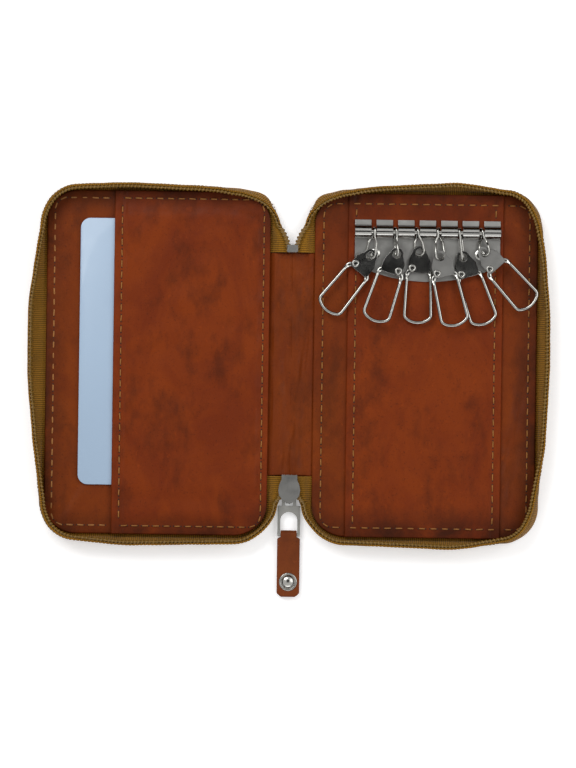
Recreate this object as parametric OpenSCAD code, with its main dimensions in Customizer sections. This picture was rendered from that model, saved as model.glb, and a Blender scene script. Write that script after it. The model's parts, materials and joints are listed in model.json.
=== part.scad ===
// Zip-around key case, lying open: two leather covers on a spine, a card pocket on the left,
// a key bar with six snap hooks on the right, and a zip chain round both covers.
// X runs across the open case, Y along the spine, Z up from the outer leather to the inside.
// The origin is the middle of the spine on the outer face.

/* [Covers] */
// Room from the card's outer side to the cover's outer edge
card_rim = 11.85; // [10:0.05:20]
// Room from the card's ends to the cover's ends, with the card in the middle
card_room = 13.4; // [12:0.1:24]
// Radius of a cover's corners
corner_r = 11; // [8:0.5:14]
// Width of the spine between the two fold lines
spine_w = 14.3; // [12:0.1:20]
// Thickness of the outer leather
leather_t = 1.2; // [0.9:0.1:1.6]
// Thickness of the stiffening board, and of the zip tape beside it
board_t = 0.6; // [0.4:0.1:1]
// Thickness of the lining leather
lining_t = 1.0; // [0.7:0.1:1.4]
// How far the lining stops short of the outer leather's edge
lining_inset = 1; // [0.6:0.1:3]
// Distance from the start of a cover's corner to the end of the spine's lining
notch_gap = 9.4; // [9:0.1:12]
// How far the spine's outer leather runs past its lining
spine_lip = 1.7; // [0:0.1:3]
// Clearance left along each fold
fold_gap = 0.15; // [0.1:0.05:0.4]

/* [Card pocket] */
// Distance from the fold line to the card's inner side
card_root = 6.9; // [6.6:0.1:10]
// Thickness of the pocket panel
pocket_t = 0.8; // [0.6:0.1:1.2]
// Width of the pocket's sewn edges
pocket_seam = 4; // [2.5:0.1:5]
// Length of the card
card_l = 85.6; // [70:0.1:90]
// Width of the card
card_w = 54; // [48:0.1:56]
// Thickness of the card
card_t = 0.76; // [0.6:0.02:0.9]
// Corner radius of the card
card_r = 3.2; // [2:0.1:5]
// Clearance above and below the card
card_gap = 0.12; // [0.1:0.01:0.3]
// How far the card stands out of the pocket mouth
card_out = 10.9; // [6:0.1:14]
// How far the card sits above the middle of the pocket
card_up = 3.4; // [0:0.1:5]

/* [Key panel] */
// How much wider the raised panel is than the key bar on it
panel_more = 3.27; // [3.2:0.01:6]
// Distance from the raised panel to the cover's outer edge
panel_rim = 12.1; // [11:0.05:16]
// Thickness of the raised panel
panel_t = 1.0; // [0.7:0.1:1.4]

/* [Key bar] */
// Number of knuckles along the bar, one more than the hooks
knuckles = 7; // [7:7]
// Length of one knuckle
knuckle_l = 5.27; // [4.6:0.01:5.6]
// Width of a slot between two knuckles
slot_w = 1.64; // [1.5:0.01:2.2]
// Outer radius of the rolled knuckles
roll_r = 1.95; // [1.75:0.05:2]
// Width of the flat lip above the roll
lip_w = 1.95; // [1.2:0.05:2.4]
// Thickness of the bar's sheet
sheet_t = 0.5; // [0.4:0.05:0.6]
// Height of the bar at its sides
bar_side_h = 14.3; // [12:0.1:18]
// Height of the bar in its middle
bar_mid_h = 19.7; // [17:0.1:24]
// How far the bar stands off the middle of its panel
bar_shift = 0.5; // [0:0.1:1.6]
// Distance from the bar's top edge to the top of the cover
bar_top_gap = 9.4; // [8:0.1:12]
// Radius of the rod in the roll
rod_r = 0.8; // [0.7:0.02:0.85]
// Running clearance round the rod
rod_gap = 0.05; // [0.02:0.01:0.1]

/* [Hooks] */
// Thickness of the wire of a link
link_wire = 0.8; // [0.7:0.05:0.9]
// Thickness of a hook plate
plate_t = 0.5; // [0.4:0.05:0.6]
// Width of a hook plate
plate_w = 6.9; // [6.2:0.1:7.4]
// Radius of the ear round the plate's hole
ear_r = 2.2; // [2:0.1:2.5]
// Radius of the plate's hole
hole_r = 1.3; // [1.2:0.05:1.4]
// Distance from the hole to the plate's lower edge
plate_drop = 6.4; // [6:0.1:7]
// Thickness of the wire of a hook's loop
loop_wire = 1.1; // [0.9:0.05:1.2]
// Outer width of a hook's loop
loop_w = 9.6; // [8.8:0.1:10]
// How much nearer to the middle each leg of a loop stands at the plate
loop_taper = 0.45; // [0:0.05:0.5]
// Distance from the hole to the bottom of the loop
loop_drop = 22.9; // [18:0.1:24]
// Radius of the two corners of a loop
loop_corner_r = 1.5; // [1.2:0.1:2]
// Outer radius of a rivet's head
rivet_r = 1.25; // [1.1:0.05:1.4]
// Step in height between one hook and the next
hook_step = 1.75; // [1.7:0.05:2]

/* [Zip] */
// Free width of the tape, from the leather's edge to the coil
tape_w = 7.4; // [6.5:0.1:7.6]
// Width of the tape held between the leather and the lining
tape_hem = 2.6; // [2:0.1:4]
// Length of one turn of the coil
coil_pitch = 1.2; // [1.1:0.1:2]
// Width of the coil
coil_w = 2; // [1.6:0.1:2.4]
// Thickness of the coil
coil_t = 1.2; // [1:0.1:1.4]
// Length of the slider
slider_l = 9.3; // [8:0.1:11]
// Width of the slider at its shoulders
slider_w = 7; // [6:0.1:8]
// Width of the slider at its tail
slider_tail_w = 5; // [4.6:0.1:5.6]
// Thickness of a slider plate
slider_t = 0.8; // [0.7:0.05:0.9]
// Gap between the slider's two plates
slider_gap = 1.9; // [1.8:0.1:2.2]

/* [Pull] */
// Width of the pull tab and of its bail
pull_w = 7.3; // [6.4:0.1:8]
// Length of the pull tab
tab_l = 21.4; // [18:0.1:26]
// Thickness of one layer of the tab's leather
tab_t = 0.8; // [0.6:0.05:0.85]
// Thickness of the bail's sheet
bail_t = 1; // [0.8:0.05:1]
// Outer radius of the tab's rivet
tab_rivet_r = 2.95; // [2.4:0.05:3.1]
// Height of the rivet's dome
dome_h = 1.3; // [1:0.1:1.6]

/* [Hidden] */

leather_c = "#84401f";
outer_c = "#7a3a1e";
panel_c = "#7a341e";
tape_c = "#8a671b";
coil_c = "#9a7a30";
steel_c = "#c9ccd0";
nickel_c = "#8f9294";
board_c = "#b9a98a";
card_c = "#a9bdd4";

// overrun of every cut
over = 1;
// running clearance between two flat pieces that move on each other
slip = 0.05;

// levels and main sizes
cover_w = card_root + card_w + card_rim;
cover_l = card_l + 2 * card_room;
pocket_w = card_root + card_w - card_out;
board_z = leather_t;
lining_z = leather_t + board_t;
inside_z = lining_z + lining_t;
fold_x = spine_w / 2;
half_l = cover_l / 2;
notch_y = half_l - corner_r;
spine_lining_l = 2 * (notch_y - notch_gap);
spine_l = spine_lining_l + 2 * spine_lip;
lining_l = cover_l - 2 * lining_inset;
lining_r = corner_r - lining_inset;

// A plate with true round corners, standing on z = 0 with its first corner at the origin.
module round_plate(w, l, t, r)
    linear_extrude(height = t) {
        translate([r, 0]) square([w - 2 * r, l]);
        translate([0, r]) square([w, l - 2 * r]);
        for (x = [r, w - r], y = [r, l - r]) translate([x, y]) circle(r, $fn = 64);
    }

// Moves its children from a cover's own place, x from the fold line outwards, to the left or right.
module on_cover(side)
    if (side > 0) translate([fold_x, 0, 0]) children();
    else mirror([1, 0, 0]) translate([fold_x, 0, 0]) children();

// covers

module cover_leather(side)
    color(outer_c)
        on_cover(side) translate([0, -half_l, 0]) round_plate(cover_w, cover_l, leather_t, corner_r);

module board(side)
    color(board_c)
        on_cover(side)
            translate([tape_hem + lining_inset, tape_hem + lining_inset - half_l, board_z])
                round_plate(cover_w - 2 * (tape_hem + lining_inset), cover_l - 2 * (tape_hem + lining_inset),
                    board_t, corner_r - tape_hem - lining_inset);

// A cover's inner outline: set back from the outer edge all round,
// but reaching the fold line between the notches.
module inner_plate(t) {
    translate([lining_inset, -lining_l / 2, 0])
        round_plate(cover_w - 2 * lining_inset, lining_l, t, lining_r);
    translate([0, 2 * fold_gap - notch_y, 0]) cube([corner_r, 2 * notch_y - 4 * fold_gap, t]);
}

module cover_lining(side)
    color(leather_c)
        on_cover(side) translate([0, 0, lining_z]) inner_plate(lining_t);

// spine

module spine_leather()
    color(outer_c)
        translate([fold_gap - fold_x, -spine_l / 2, 0])
            cube([spine_w - 2 * fold_gap, spine_l, leather_t]);

module spine_lining()
    color(leather_c)
        translate([fold_gap - fold_x, -spine_lining_l / 2, leather_t])
            cube([spine_w - 2 * fold_gap, spine_lining_l, lining_t]);

// card pocket and card

cavity_t = card_t + 2 * card_gap;
card_x = fold_x + card_root;

module card_pocket()
    color(panel_c)
        on_cover(-1)
            difference() {
                translate([0, 0, inside_z])
                    intersection() {
                        inner_plate(cavity_t + pocket_t);
                        translate([0, -lining_l / 2, 0]) cube([pocket_w, lining_l, cavity_t + pocket_t]);
                    }
                translate([pocket_seam, pocket_seam - lining_l / 2, inside_z - over])
                    cube([pocket_w, lining_l - 2 * pocket_seam, cavity_t + over]);
            }

module card()
    color(card_c)
        mirror([1, 0, 0])
            translate([card_x, card_up - card_l / 2, inside_z + card_gap])
                round_plate(card_w, card_l, card_t, card_r);

// key panel, bar, rod and rivets

panel_top = inside_z + panel_t;
bar_w = knuckles * knuckle_l + (knuckles - 1) * slot_w;
panel_w = bar_w + panel_more;
panel_x = cover_w - panel_rim - panel_w;
bar_x = fold_x + panel_x + panel_w / 2 + bar_shift;
bar_top_y = half_l - bar_top_gap;
rod_y = bar_top_y - lip_w - roll_r;
rod_z = panel_top + roll_r;
bar_pitch = knuckle_l + slot_w;
// sagitta of the bar's curved foot, and the radius that it gives
foot_sag = bar_mid_h - bar_side_h;
foot_r = (bar_w * bar_w / 4 + foot_sag * foot_sag) / (2 * foot_sag);
bar_rivet_r = 1.7;
bar_rivet_h = 0.35;
bar_rivet_share = 0.36;
bar_rivet_y = bar_top_y - bar_side_h + 2 * bar_rivet_r;

module key_panel()
    color(panel_c)
        translate([fold_x + panel_x, -lining_l / 2, inside_z])
            cube([panel_w, lining_l, panel_t]);

// Outline of the bar, seen from above: straight sides and an arc of one radius at the foot.
module bar_outline()
    intersection() {
        translate([-bar_w / 2, -bar_mid_h]) square([bar_w, bar_mid_h]);
        translate([0, foot_r - bar_mid_h]) circle(foot_r, $fn = 180);
    }

module key_bar()
    color(steel_c)
        difference() {
            union() {
                translate([bar_x, bar_top_y, panel_top]) linear_extrude(height = sheet_t) bar_outline();
                translate([bar_x - bar_w / 2, rod_y, rod_z]) rotate([0, 90, 0])
                    cylinder(h = bar_w, r = roll_r, $fn = 48);
            }
            translate([bar_x - bar_w / 2 - over, rod_y, rod_z]) rotate([0, 90, 0])
                cylinder(h = bar_w + 2 * over, r = rod_r + rod_gap, $fn = 48);
            for (i = [1 : knuckles - 1])
                translate([bar_x - bar_w / 2 + i * bar_pitch - slot_w, rod_y - roll_r, panel_top - over])
                    cube([slot_w, 2 * roll_r + lip_w + over, 2 * roll_r + 2 * over]);
            for (s = [-1, 1])
                translate([bar_x + s * bar_w * bar_rivet_share, bar_rivet_y, panel_top - over])
                    cylinder(h = sheet_t + 2 * over, r = bar_rivet_r / 2, $fn = 32);
        }

module key_bar_rod()
    color(steel_c)
        translate([bar_x - bar_w / 2, rod_y, rod_z]) rotate([0, 90, 0])
            cylinder(h = bar_w, r = rod_r, $fn = 48);

// A low round head over a shank that fills the bar's rivet hole.
module key_bar_rivets()
    color(steel_c)
        for (s = [-1, 1])
            translate([bar_x + s * bar_w * bar_rivet_share, bar_rivet_y, panel_top]) {
                cylinder(h = sheet_t, r = bar_rivet_r / 2, $fn = 32);
                translate([0, 0, sheet_t])
                    cylinder(h = bar_rivet_h, r1 = bar_rivet_r, r2 = bar_rivet_r / 2, $fn = 32);
            }

// hooks

// Lean of each link to the side, turn of each hook and side of its rivet, from the first hook to the last
link_lean = [-7.7, 3.4, 7.3, 3.9, 6.7, 7.8];
hook_turn = [-38.4, -17.8, -1, 13.7, 19.7, 42.5];
rivet_side = [-1, 1, -1, -1, -1, -1];
link_reach_share = [0.94, 0.87, 0.8, 0.95, 0.96, 0.78];
link_full = 8.4;
link_rod_r = rod_r + rod_gap * 2 + link_wire / 2;
link_end_r = plate_t / 2 + 5 * slip + link_wire / 2;
hole_seat = hole_r - link_wire / 2 - 3 * slip;
low_z = panel_top + sheet_t + link_end_r + link_wire / 2 + 2 * slip;

function slot_x(n) = bar_x - bar_w / 2 + n * bar_pitch - slot_w / 2;
function link_reach(n) = link_full * link_reach_share[n - 1];
function hook_z(n) = n % 2 == 1 ? low_z : low_z + hook_step;
function hole_x(n) = slot_x(n) + link_reach(n) * sin(link_lean[n - 1]);
function hole_y(n) = rod_y - link_reach(n) * cos(link_lean[n - 1]);

// Middle line of a link in the plane across the rod: [distance from the rod, height over the rod].
function arc_points(c, r, a0, a1, steps) =
    [for (i = [0 : steps]) let (a = a0 + (a1 - a0) * i / steps) [c[0] + r * cos(a), c[1] + r * sin(a)]];
function link_line(n) =
    let (far = link_reach(n) + hole_seat - link_end_r, up = hook_z(n) - rod_z,
        near_x = roll_r, near_z = panel_top + sheet_t + link_wire / 2 + 3 * slip - rod_z)
    concat(
        arc_points([0, 0], link_rod_r, 100, 255, 8),
        [[near_x, max(near_z, -link_rod_r)]],
        arc_points([far, up], link_end_r, -90, 90, 6),
        [[link_reach(n) - ear_r - link_wire, up + link_end_r]]);

// A closed tube of round section along a flat closed line given in distance and height.
module wire_ring(line, r, sides) {
    count = len(line);
    rings = [for (i = [0 : count - 1])
        let (before = line[(i + count - 1) % count], after = line[(i + 1) % count],
            way = after - before, size = norm(way), out = [way[1], -way[0]] / size)
        [for (k = [0 : sides - 1])
            let (a = 360 * k / sides)
            [r * sin(a), -(line[i][0] + out[0] * r * cos(a)), line[i][1] + out[1] * r * cos(a)]]];
    points = [for (ring = rings) for (p = ring) p];
    faces = [for (i = [0 : count - 1]) for (k = [0 : sides - 1])
        let (a = i * sides, b = ((i + 1) % count) * sides, k2 = (k + 1) % sides)
        each [[a + k, b + k, b + k2], [a + k, b + k2, a + k2]]];
    polyhedron(points, faces);
}

module hook_link(n)
    color(steel_c)
        translate([slot_x(n), rod_y, rod_z]) rotate([0, 0, link_lean[n - 1]])
            wire_ring(link_line(n), link_wire / 2, 8);

module at_hook(n)
    translate([hole_x(n), hole_y(n), hook_z(n)]) rotate([0, 0, hook_turn[n - 1]])
        mirror([rivet_side[n - 1] > 0 ? 1 : 0, 0, 0]) children();

head_t = 0.25;
lug_t = 0.4;
lug_w = 2;
rivet_in_share = 0.31884;
rivet_down_share = 0.76562;
shoulder_share = 0.375;
rivet_x = -plate_w * rivet_in_share;
rivet_y = -plate_drop * rivet_down_share;
shoulder_y = -plate_drop * shoulder_share;
ear_side_share = 0.9;
ear_low_share = 0.3;
shank_share = 0.6;
bore_share = 0.4;
plate_corner_r = 0.9;
leg_x = (loop_w - loop_wire) / 2;
leg_top_x = leg_x - loop_taper;
lug_z = -plate_t / 2 - slip - lug_t;
clip_w = 0.5;
clip_y = plate_corner_r - plate_drop;
clip_in_share = 0.8;

// Outline of a hook plate: an ear round the hole, sloping shoulders and a square foot with round corners.
module plate_outline() {
    circle(ear_r, $fn = 48);
    polygon([[-ear_r * ear_side_share, ear_r * ear_low_share],
        [ear_r * ear_side_share, ear_r * ear_low_share],
        [plate_w / 2, shoulder_y],
        [plate_w / 2, plate_corner_r - plate_drop], [-plate_w / 2, plate_corner_r - plate_drop],
        [-plate_w / 2, shoulder_y]]);
    translate([plate_corner_r - plate_w / 2, -plate_drop])
        square([plate_w - 2 * plate_corner_r, 2 * plate_corner_r]);
    for (s = [-1, 1])
        translate([s * (plate_w / 2 - plate_corner_r), plate_corner_r - plate_drop])
            circle(plate_corner_r, $fn = 32);
}

// The stamped plate, with the folded clip that holds the free end of the loop.
module hook_plate(n)
    color(nickel_c)
        at_hook(n)
            difference() {
                union() {
                    translate([0, 0, -plate_t / 2]) linear_extrude(height = plate_t) plate_outline();
                    translate([plate_w / 2 - clip_w, clip_y, lug_z - slip - head_t])
                        cube([clip_w, lug_w, plate_t + slip - lug_z - plate_t / 2 + head_t]);
                    translate([plate_w / 2 - lug_w, clip_y, lug_z - slip - head_t])
                        cube([lug_w, lug_w, head_t]);
                }
                translate([0, 0, -over]) cylinder(h = 2 * over, r = hole_r, $fn = 48);
                translate([rivet_x, rivet_y, -over])
                        cylinder(h = 2 * over, r = rivet_r * shank_share + slip, $fn = 32);
            }

// A tubular rivet: one flange above the plate, one below the lug, and a bore right through.
module hook_rivet(n)
    color(steel_c)
        at_hook(n)
            translate([rivet_x, rivet_y, 0])
                difference() {
                    union() {
                        translate([0, 0, lug_z - slip - head_t])
                            cylinder(h = plate_t / 2 + head_t * 2 + slip - lug_z,
                                r = rivet_r * shank_share, $fn = 32);
                        translate([0, 0, plate_t / 2]) cylinder(h = head_t, r = rivet_r, $fn = 32);
                        translate([0, 0, lug_z - slip - head_t]) cylinder(h = head_t, r = rivet_r, $fn = 32);
                    }
                    translate([0, 0, -2 * over]) cylinder(h = 4 * over, r = rivet_r * bore_share, $fn = 32);
                }

// bottom arc of the loop: its two corner centres stand this far in and up
loop_z = -plate_t / 2;
loop_foot_share = 0.62;
leg_top_share = 1.2;
loop_foot_r = loop_w * loop_foot_share;
loop_mid_y = loop_wire / 2 - loop_drop;
corner_cx = leg_x - loop_corner_r;
corner_cy = loop_mid_y + loop_foot_r - sqrt(pow(loop_foot_r - loop_corner_r, 2) - corner_cx * corner_cx);
corner_a = atan2(loop_mid_y + loop_foot_r - corner_cy, corner_cx);
leg_top_y = -plate_drop * leg_top_share;

// Middle line of the bent wire: down one leg, round a corner, along the foot and up the other side.
function loop_line() =
    concat(
        [[-leg_top_x, leg_top_y + loop_wire]],
        arc_points([-corner_cx, corner_cy], loop_corner_r, 180, 180 + corner_a, 3),
        arc_points([0, loop_mid_y + loop_foot_r], loop_foot_r, 190 + corner_a, 350 - corner_a, 6),
        arc_points([corner_cx, corner_cy], loop_corner_r, 360 - corner_a, 360, 3),
        [[leg_top_x, leg_top_y + loop_wire]]);

// Round wire along an open line that lies flat.
module wire_bar(line, r, sides) {
    count = len(line);
    loft([for (i = [0 : count - 1])
        let (way = line[min(i + 1, count - 1)] - line[max(i - 1, 0)], out = [way[1], -way[0]] / norm(way))
        [for (k = [0 : sides - 1])
            let (a = 360 * k / sides)
            [line[i][0] + out[0] * r * cos(a), line[i][1] + out[1] * r * cos(a), r * sin(a)]]], true);
}

// The bent wire loop: a flat lug on the rivet, two legs, round corners, a curved foot and a flat free end.
module hook_loop(n)
    color(steel_c)
        at_hook(n) {
            translate([0, 0, loop_z]) wire_bar(loop_line(), loop_wire / 2, 10);
            difference() {
                translate([0, 0, lug_z]) linear_extrude(height = lug_t) {
                    polygon([[rivet_x - lug_w / 2, rivet_y], [rivet_x + lug_w / 2, rivet_y],
                        [loop_wire / 2 - leg_top_x, leg_top_y + loop_wire],
                        [loop_wire / 2 - leg_top_x, leg_top_y],
                        [-leg_top_x - loop_wire / 2, leg_top_y]]);
                    translate([rivet_x, rivet_y]) circle(lug_w / 2, $fn = 32);
                }
                translate([rivet_x, rivet_y, lug_z - over])
                    cylinder(h = 2 * over, r = rivet_r * shank_share + slip, $fn = 32);
            }
            translate([0, 0, lug_z]) linear_extrude(height = lug_t)
                polygon([[leg_top_x - loop_wire / 2, leg_top_y], [leg_top_x + loop_wire / 2, leg_top_y],
                    [leg_top_x + loop_wire / 2, leg_top_y + loop_wire / 2],
                    [plate_w / 2 - clip_w - 3 * slip, clip_y - 3 * slip],
                    [plate_w / 2 - clip_w - 3 * slip, clip_y + lug_w * clip_in_share],
                    [plate_w / 2 - lug_w + slip, clip_y + lug_w * clip_in_share],
                    [plate_w / 2 - lug_w + slip, clip_y]]);
        }

// zip

// One cover's edge from the spine's upper notch round to its lower notch, as [point, outward direction].
run_top = cover_w - 2 * corner_r;
run_side = cover_l - 2 * corner_r;
quarter = PI * corner_r / 2;
path_len = 4 * quarter + 2 * run_top + run_side;

function turn(s) = s / corner_r * 180 / PI;
function on_arc(cx, cy, a) = [[cx + corner_r * cos(a), cy + corner_r * sin(a)], [cos(a), sin(a)]];
function edge_at(s) =
    let (a1 = quarter, a2 = a1 + run_top, a3 = a2 + quarter, a4 = a3 + run_side, a5 = a4 + quarter,
        a6 = a5 + run_top, near = corner_r, far = cover_w - corner_r)
    s < a1 ? on_arc(near, notch_y, 180 - turn(s))
    : s < a2 ? [[near + s - a1, half_l], [0, 1]]
    : s < a3 ? on_arc(far, notch_y, 90 - turn(s - a2))
    : s < a4 ? [[cover_w, notch_y - (s - a3)], [1, 0]]
    : s < a5 ? on_arc(far, -notch_y, -turn(s - a4))
    : s < a6 ? [[far - (s - a5), -half_l], [0, -1]]
    : on_arc(near, -notch_y, -90 - turn(s - a6));

// How far the coil stands out from the edge, as [share of the path, share of the tape's width]
left_out_share = [[0, 0.5], [0.03, -0.05], [0.06, -0.17], [0.09, 0], [0.2, 0.13], [0.31, -0.08], [0.36, 0.22],
    [0.43, 0.64], [0.52, 0.63], [0.6, 0.3], [0.68, -0.16], [0.8, 0.31], [0.93, 0.18], [0.97, 0.2], [1, 0.5]];
right_out_share = [[0, 0.5], [0.03, -0.05], [0.06, -0.11], [0.09, 0.1], [0.2, 0.35],
    [0.31, -0.31], [0.36, 0.1],
    [0.43, 0.36], [0.5, 0.4], [0.6, 0.2], [0.69, -0.44], [0.8, 0.32], [0.93, 0.14], [0.97, 0.2], [1, 0.5]];
// Height of the coil over the tape's root, as a share of what the tape's width leaves
rise_share = [[0, 0.53], [0.03, 0.72], [0.08, 1], [0.92, 1], [0.97, 0.72], [1, 0.53]];
out_shares = [left_out_share, right_out_share];
root_z = board_z + board_t / 2;

function coil_out(side, f) = tape_w * lookup(f, out_shares[side > 0 ? 1 : 0]);
function coil_up(side, f) =
    let (out = coil_out(side, f)) lookup(f, rise_share) * sqrt(tape_w * tape_w - out * out);

// Section of the tape at one place: hem, root, bend and top, as [distance from the edge, height].
function tape_section(side, f) =
    let (out = coil_out(side, f), up = coil_up(side, f), way = [out, up] / norm([out, up]),
        side_way = [way[1], -way[0]] * board_t / 2)
    [[-tape_hem, -board_t / 2], [0, -board_t / 2] + [side_way[0], 0], [out, up] + side_way,
        [out, up] - side_way, [0, board_t / 2] - [side_way[0], 0], [-tape_hem, board_t / 2]];

function placed(side, at, section, z) =
    [for (p = section) [side * (fold_x + at[0][0] + at[1][0] * p[0]), at[0][1] + at[1][1] * p[0], z + p[1]]];

// A closed solid through rings of equal count, turned so that its faces point outwards.
// The last few walls, as many as other_cut says, are halved along their other diagonal.
module loft(rings, flip, other_cut = 0) {
    count = len(rings);
    sides = len(rings[0]);
    points = [for (ring = rings) for (p = ring) p];
    walls = [for (i = [0 : count - 2]) for (k = [0 : sides - 1])
        let (a = i * sides, b = a + sides, k2 = (k + 1) % sides)
        each k < sides - other_cut ? [[a + k, b + k, b + k2], [a + k, b + k2, a + k2]]
            : [[a + k, b + k, a + k2], [b + k, b + k2, a + k2]]];
    first = [for (k = [1 : sides - 2]) [0, k, k + 1]];
    base = (count - 1) * sides;
    last = [for (k = [1 : sides - 2]) [base, base + k + 1, base + k]];
    faces = concat(walls, first, last);
    polyhedron(points, flip ? [for (f = faces) [f[2], f[1], f[0]]] : faces);
}

// share of the path at each notch where the tape belongs to the spine, since it bends as the cover folds
bend_share = 0.04;
// gap left between the two lengths of tape, as a share of the path
cut_share = 0.0006;
tape_steps = 80;
function run_share(f) = bend_share + cut_share + (1 - 2 * bend_share - 2 * cut_share) * f;

module zip_tape(side)
    color(tape_c)
        loft([for (i = [0 : tape_steps])
            let (f = run_share(i / tape_steps))
            placed(side, edge_at(f * path_len), tape_section(side, f), root_z)], side < 0);

// The coil, as a bar whose sides swell once in every turn, on the tape's outer face.
swell_shares = [0.62, 0.98];
coil_count = floor(path_len * (1 - 2 * bend_share) / coil_pitch);
function coil_section(side, f, wide) =
    let (out = coil_out(side, f), up = coil_up(side, f), way = [out, up] / norm([out, up]),
        across = [way[1], -way[0]], half = coil_t / 2 * wide, long = coil_w / 2 * wide,
        c = [out, up] + across * (board_t / 2 + coil_t / 2) - way * coil_w / 2)
    [c - way * long, c - across * half, c + way * long, c + across * half];

module zip_coil(side)
    color(coil_c)
        loft([for (i = [0 : 2 * coil_count])
            let (f = run_share(i / (2 * coil_count)))
            placed(side, edge_at(f * path_len), coil_section(side, f, swell_shares[i % 2]), root_z)],
            side > 0);

// The tape ends: across the spine to the notch, then round the start of the cover's corner
spine_steps = 7;
bend_steps = 6;
end_y = notch_y - fold_gap;
end_start_y = spine_lining_l / 2 + fold_gap;
end_gap = 0.35;
end_reach = fold_x - coil_out(1, 0);
end_bend_x = slider_w / 2 + 6 * slip;
end_rise = coil_up(1, 0);
function end_x(f) = end_gap + (end_reach - end_gap) * f * f;
function end_share(sy, f) = sy > 0 ? bend_share * f : 1 - bend_share * f;

module tape_end(sx, sy)
    color(tape_c)
        loft(concat(
            [for (i = [0 : spine_steps])
                let (f = i / spine_steps, y = sy * (end_start_y + (end_y - end_start_y) * f), x = end_x(f),
                    root_x = fold_x - fold_gap, low = board_z + end_rise, high = low + board_t)
                [[sx * root_x, y, board_z], [sx * end_bend_x, y, low], [sx * x, y, low], [sx * x, y, high],
                    [sx * end_bend_x, y, high], [sx * root_x, y, board_z + board_t]]],
            [for (i = [1 : bend_steps])
                let (f = end_share(sy, i / bend_steps))
                placed(sx, edge_at(f * path_len), tape_section(sx, f), root_z)]),
            sx * sy < 0, 3);

module zip_tape_ends()
    for (sx = [-1, 1], sy = [-1, 1]) tape_end(sx, sy);

end_turns = floor((end_y - end_start_y) / coil_pitch);
bend_turns = floor(path_len * bend_share / coil_pitch);
module coil_end(sx, sy)
    color(coil_c)
        loft(concat(
            [for (i = [0 : 2 * end_turns])
                let (f = i / (2 * end_turns),
                        y = sy * (end_start_y + (end_y - end_start_y) * f), x = end_x(f),
                    wide = swell_shares[i % 2], z = board_z + end_rise - coil_t / 2, h = coil_t / 2 * wide,
                    w = coil_w / 2 * wide, cx = x + coil_w / 2)
                [[sx * (cx + w), y, z], [sx * cx, y, z + h], [sx * (cx - w), y, z], [sx * cx, y, z - h]]],
            [for (i = [1 : 2 * bend_turns])
                let (f = end_share(sy, i / (2 * bend_turns)))
                placed(sx, edge_at(f * path_len), coil_section(sx, f, swell_shares[i % 2]), root_z)]),
            sx * sy > 0);

module zip_coil_ends()
    for (sx = [-1, 1], sy = [-1, 1]) coil_end(sx, sy);

stop_l = 2.4;
stop_w = 3.4;
stop_t = 0.5;
module zip_stop()
    color(steel_c)
        translate([-stop_w / 2, end_start_y, board_z + end_rise + board_t + slip])
            cube([stop_w, stop_l, stop_t]);

// slider and pull

slider_y = -spine_lining_l / 2 + 6 * slip;
chain_z = board_z + end_rise - coil_t / 2 + board_t / 2;
plate_in_z = chain_z + slider_gap / 2;
plate_out_z = chain_z - slider_gap / 2 - slider_t;

tail_share = slider_tail_w / slider_w;
// A slider plate's outline, as [share of its length, share of its half width], from tail to point
outline_shares = [[0, tail_share], [0.16, tail_share], [0.36, 0.94], [0.53, 1], [0.7, 0.93], [0.87, 0.62]];

// Outline of a slider plate: a straight tail, wide shoulders and a rounded point.
module slider_outline() {
    right = [for (p = outline_shares) [slider_w / 2 * p[1], -slider_l * p[0]]];
    left = [for (p = right) [-p[0], p[1]]];
    polygon(concat(right, [[0, -slider_l]], [for (i = [len(left) - 1 : -1 : 0]) left[i]]));
}

post_w = 1.4;
crown_w = 2.2;
post_side_share = 0.8;
post_down_share = 0.8;
pin_down_share = 0.72;
pin_up_share = 0.58;
ridge_w = 0.9;
ridge_t = 0.2;
ridge_share = 0.6;
crown_h = plate_out_z - slip;
crown_top_l = 5;
pin_r = 0.45;
pin_y = slider_y - slider_l * pin_down_share;
pin_z = crown_h * pin_up_share;

module zip_slider()
    color(nickel_c)
        difference() {
            union() {
                translate([0, slider_y, plate_in_z]) linear_extrude(height = slider_t) slider_outline();
                translate([0, slider_y, plate_out_z]) linear_extrude(height = slider_t) slider_outline();
                translate([-ridge_w / 2, slider_y - slider_l * ridge_share, plate_in_z])
                    cube([ridge_w, slider_l * ridge_share, slider_t + ridge_t]);
                translate([0, slider_y - slider_l * post_down_share, plate_out_z])
                    linear_extrude(height = slider_gap + 2 * slider_t)
                        polygon([[0, -post_w * post_side_share], [post_w / 2, 0],
                            [0, post_w], [-post_w / 2, 0]]);
                translate([-crown_w / 2, pin_y - crown_top_l / 2, slip])
                    cube([crown_w, crown_top_l, crown_h + slip]);
            }
            translate([-crown_w, pin_y, pin_z]) rotate([0, 90, 0])
                cylinder(h = 2 * crown_w, r = pin_r + 2 * slip, $fn = 32);
        }

bail_l = 12.6;
bail_hole_share = 0.36;
bail_neck_share = 0.333;
bail_arm_w = 0.9;
bail_hole_w = pull_w - 2 * bail_arm_w;
bail_low_y = pin_y - bail_l;
bail_neck_y = pin_y - bail_l * bail_neck_share;
bail_arch_y = bail_low_y + bail_l * bail_hole_share;
bail_z = pin_z - bail_t / 2;
bar_cross_r = bail_t / 2;

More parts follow.
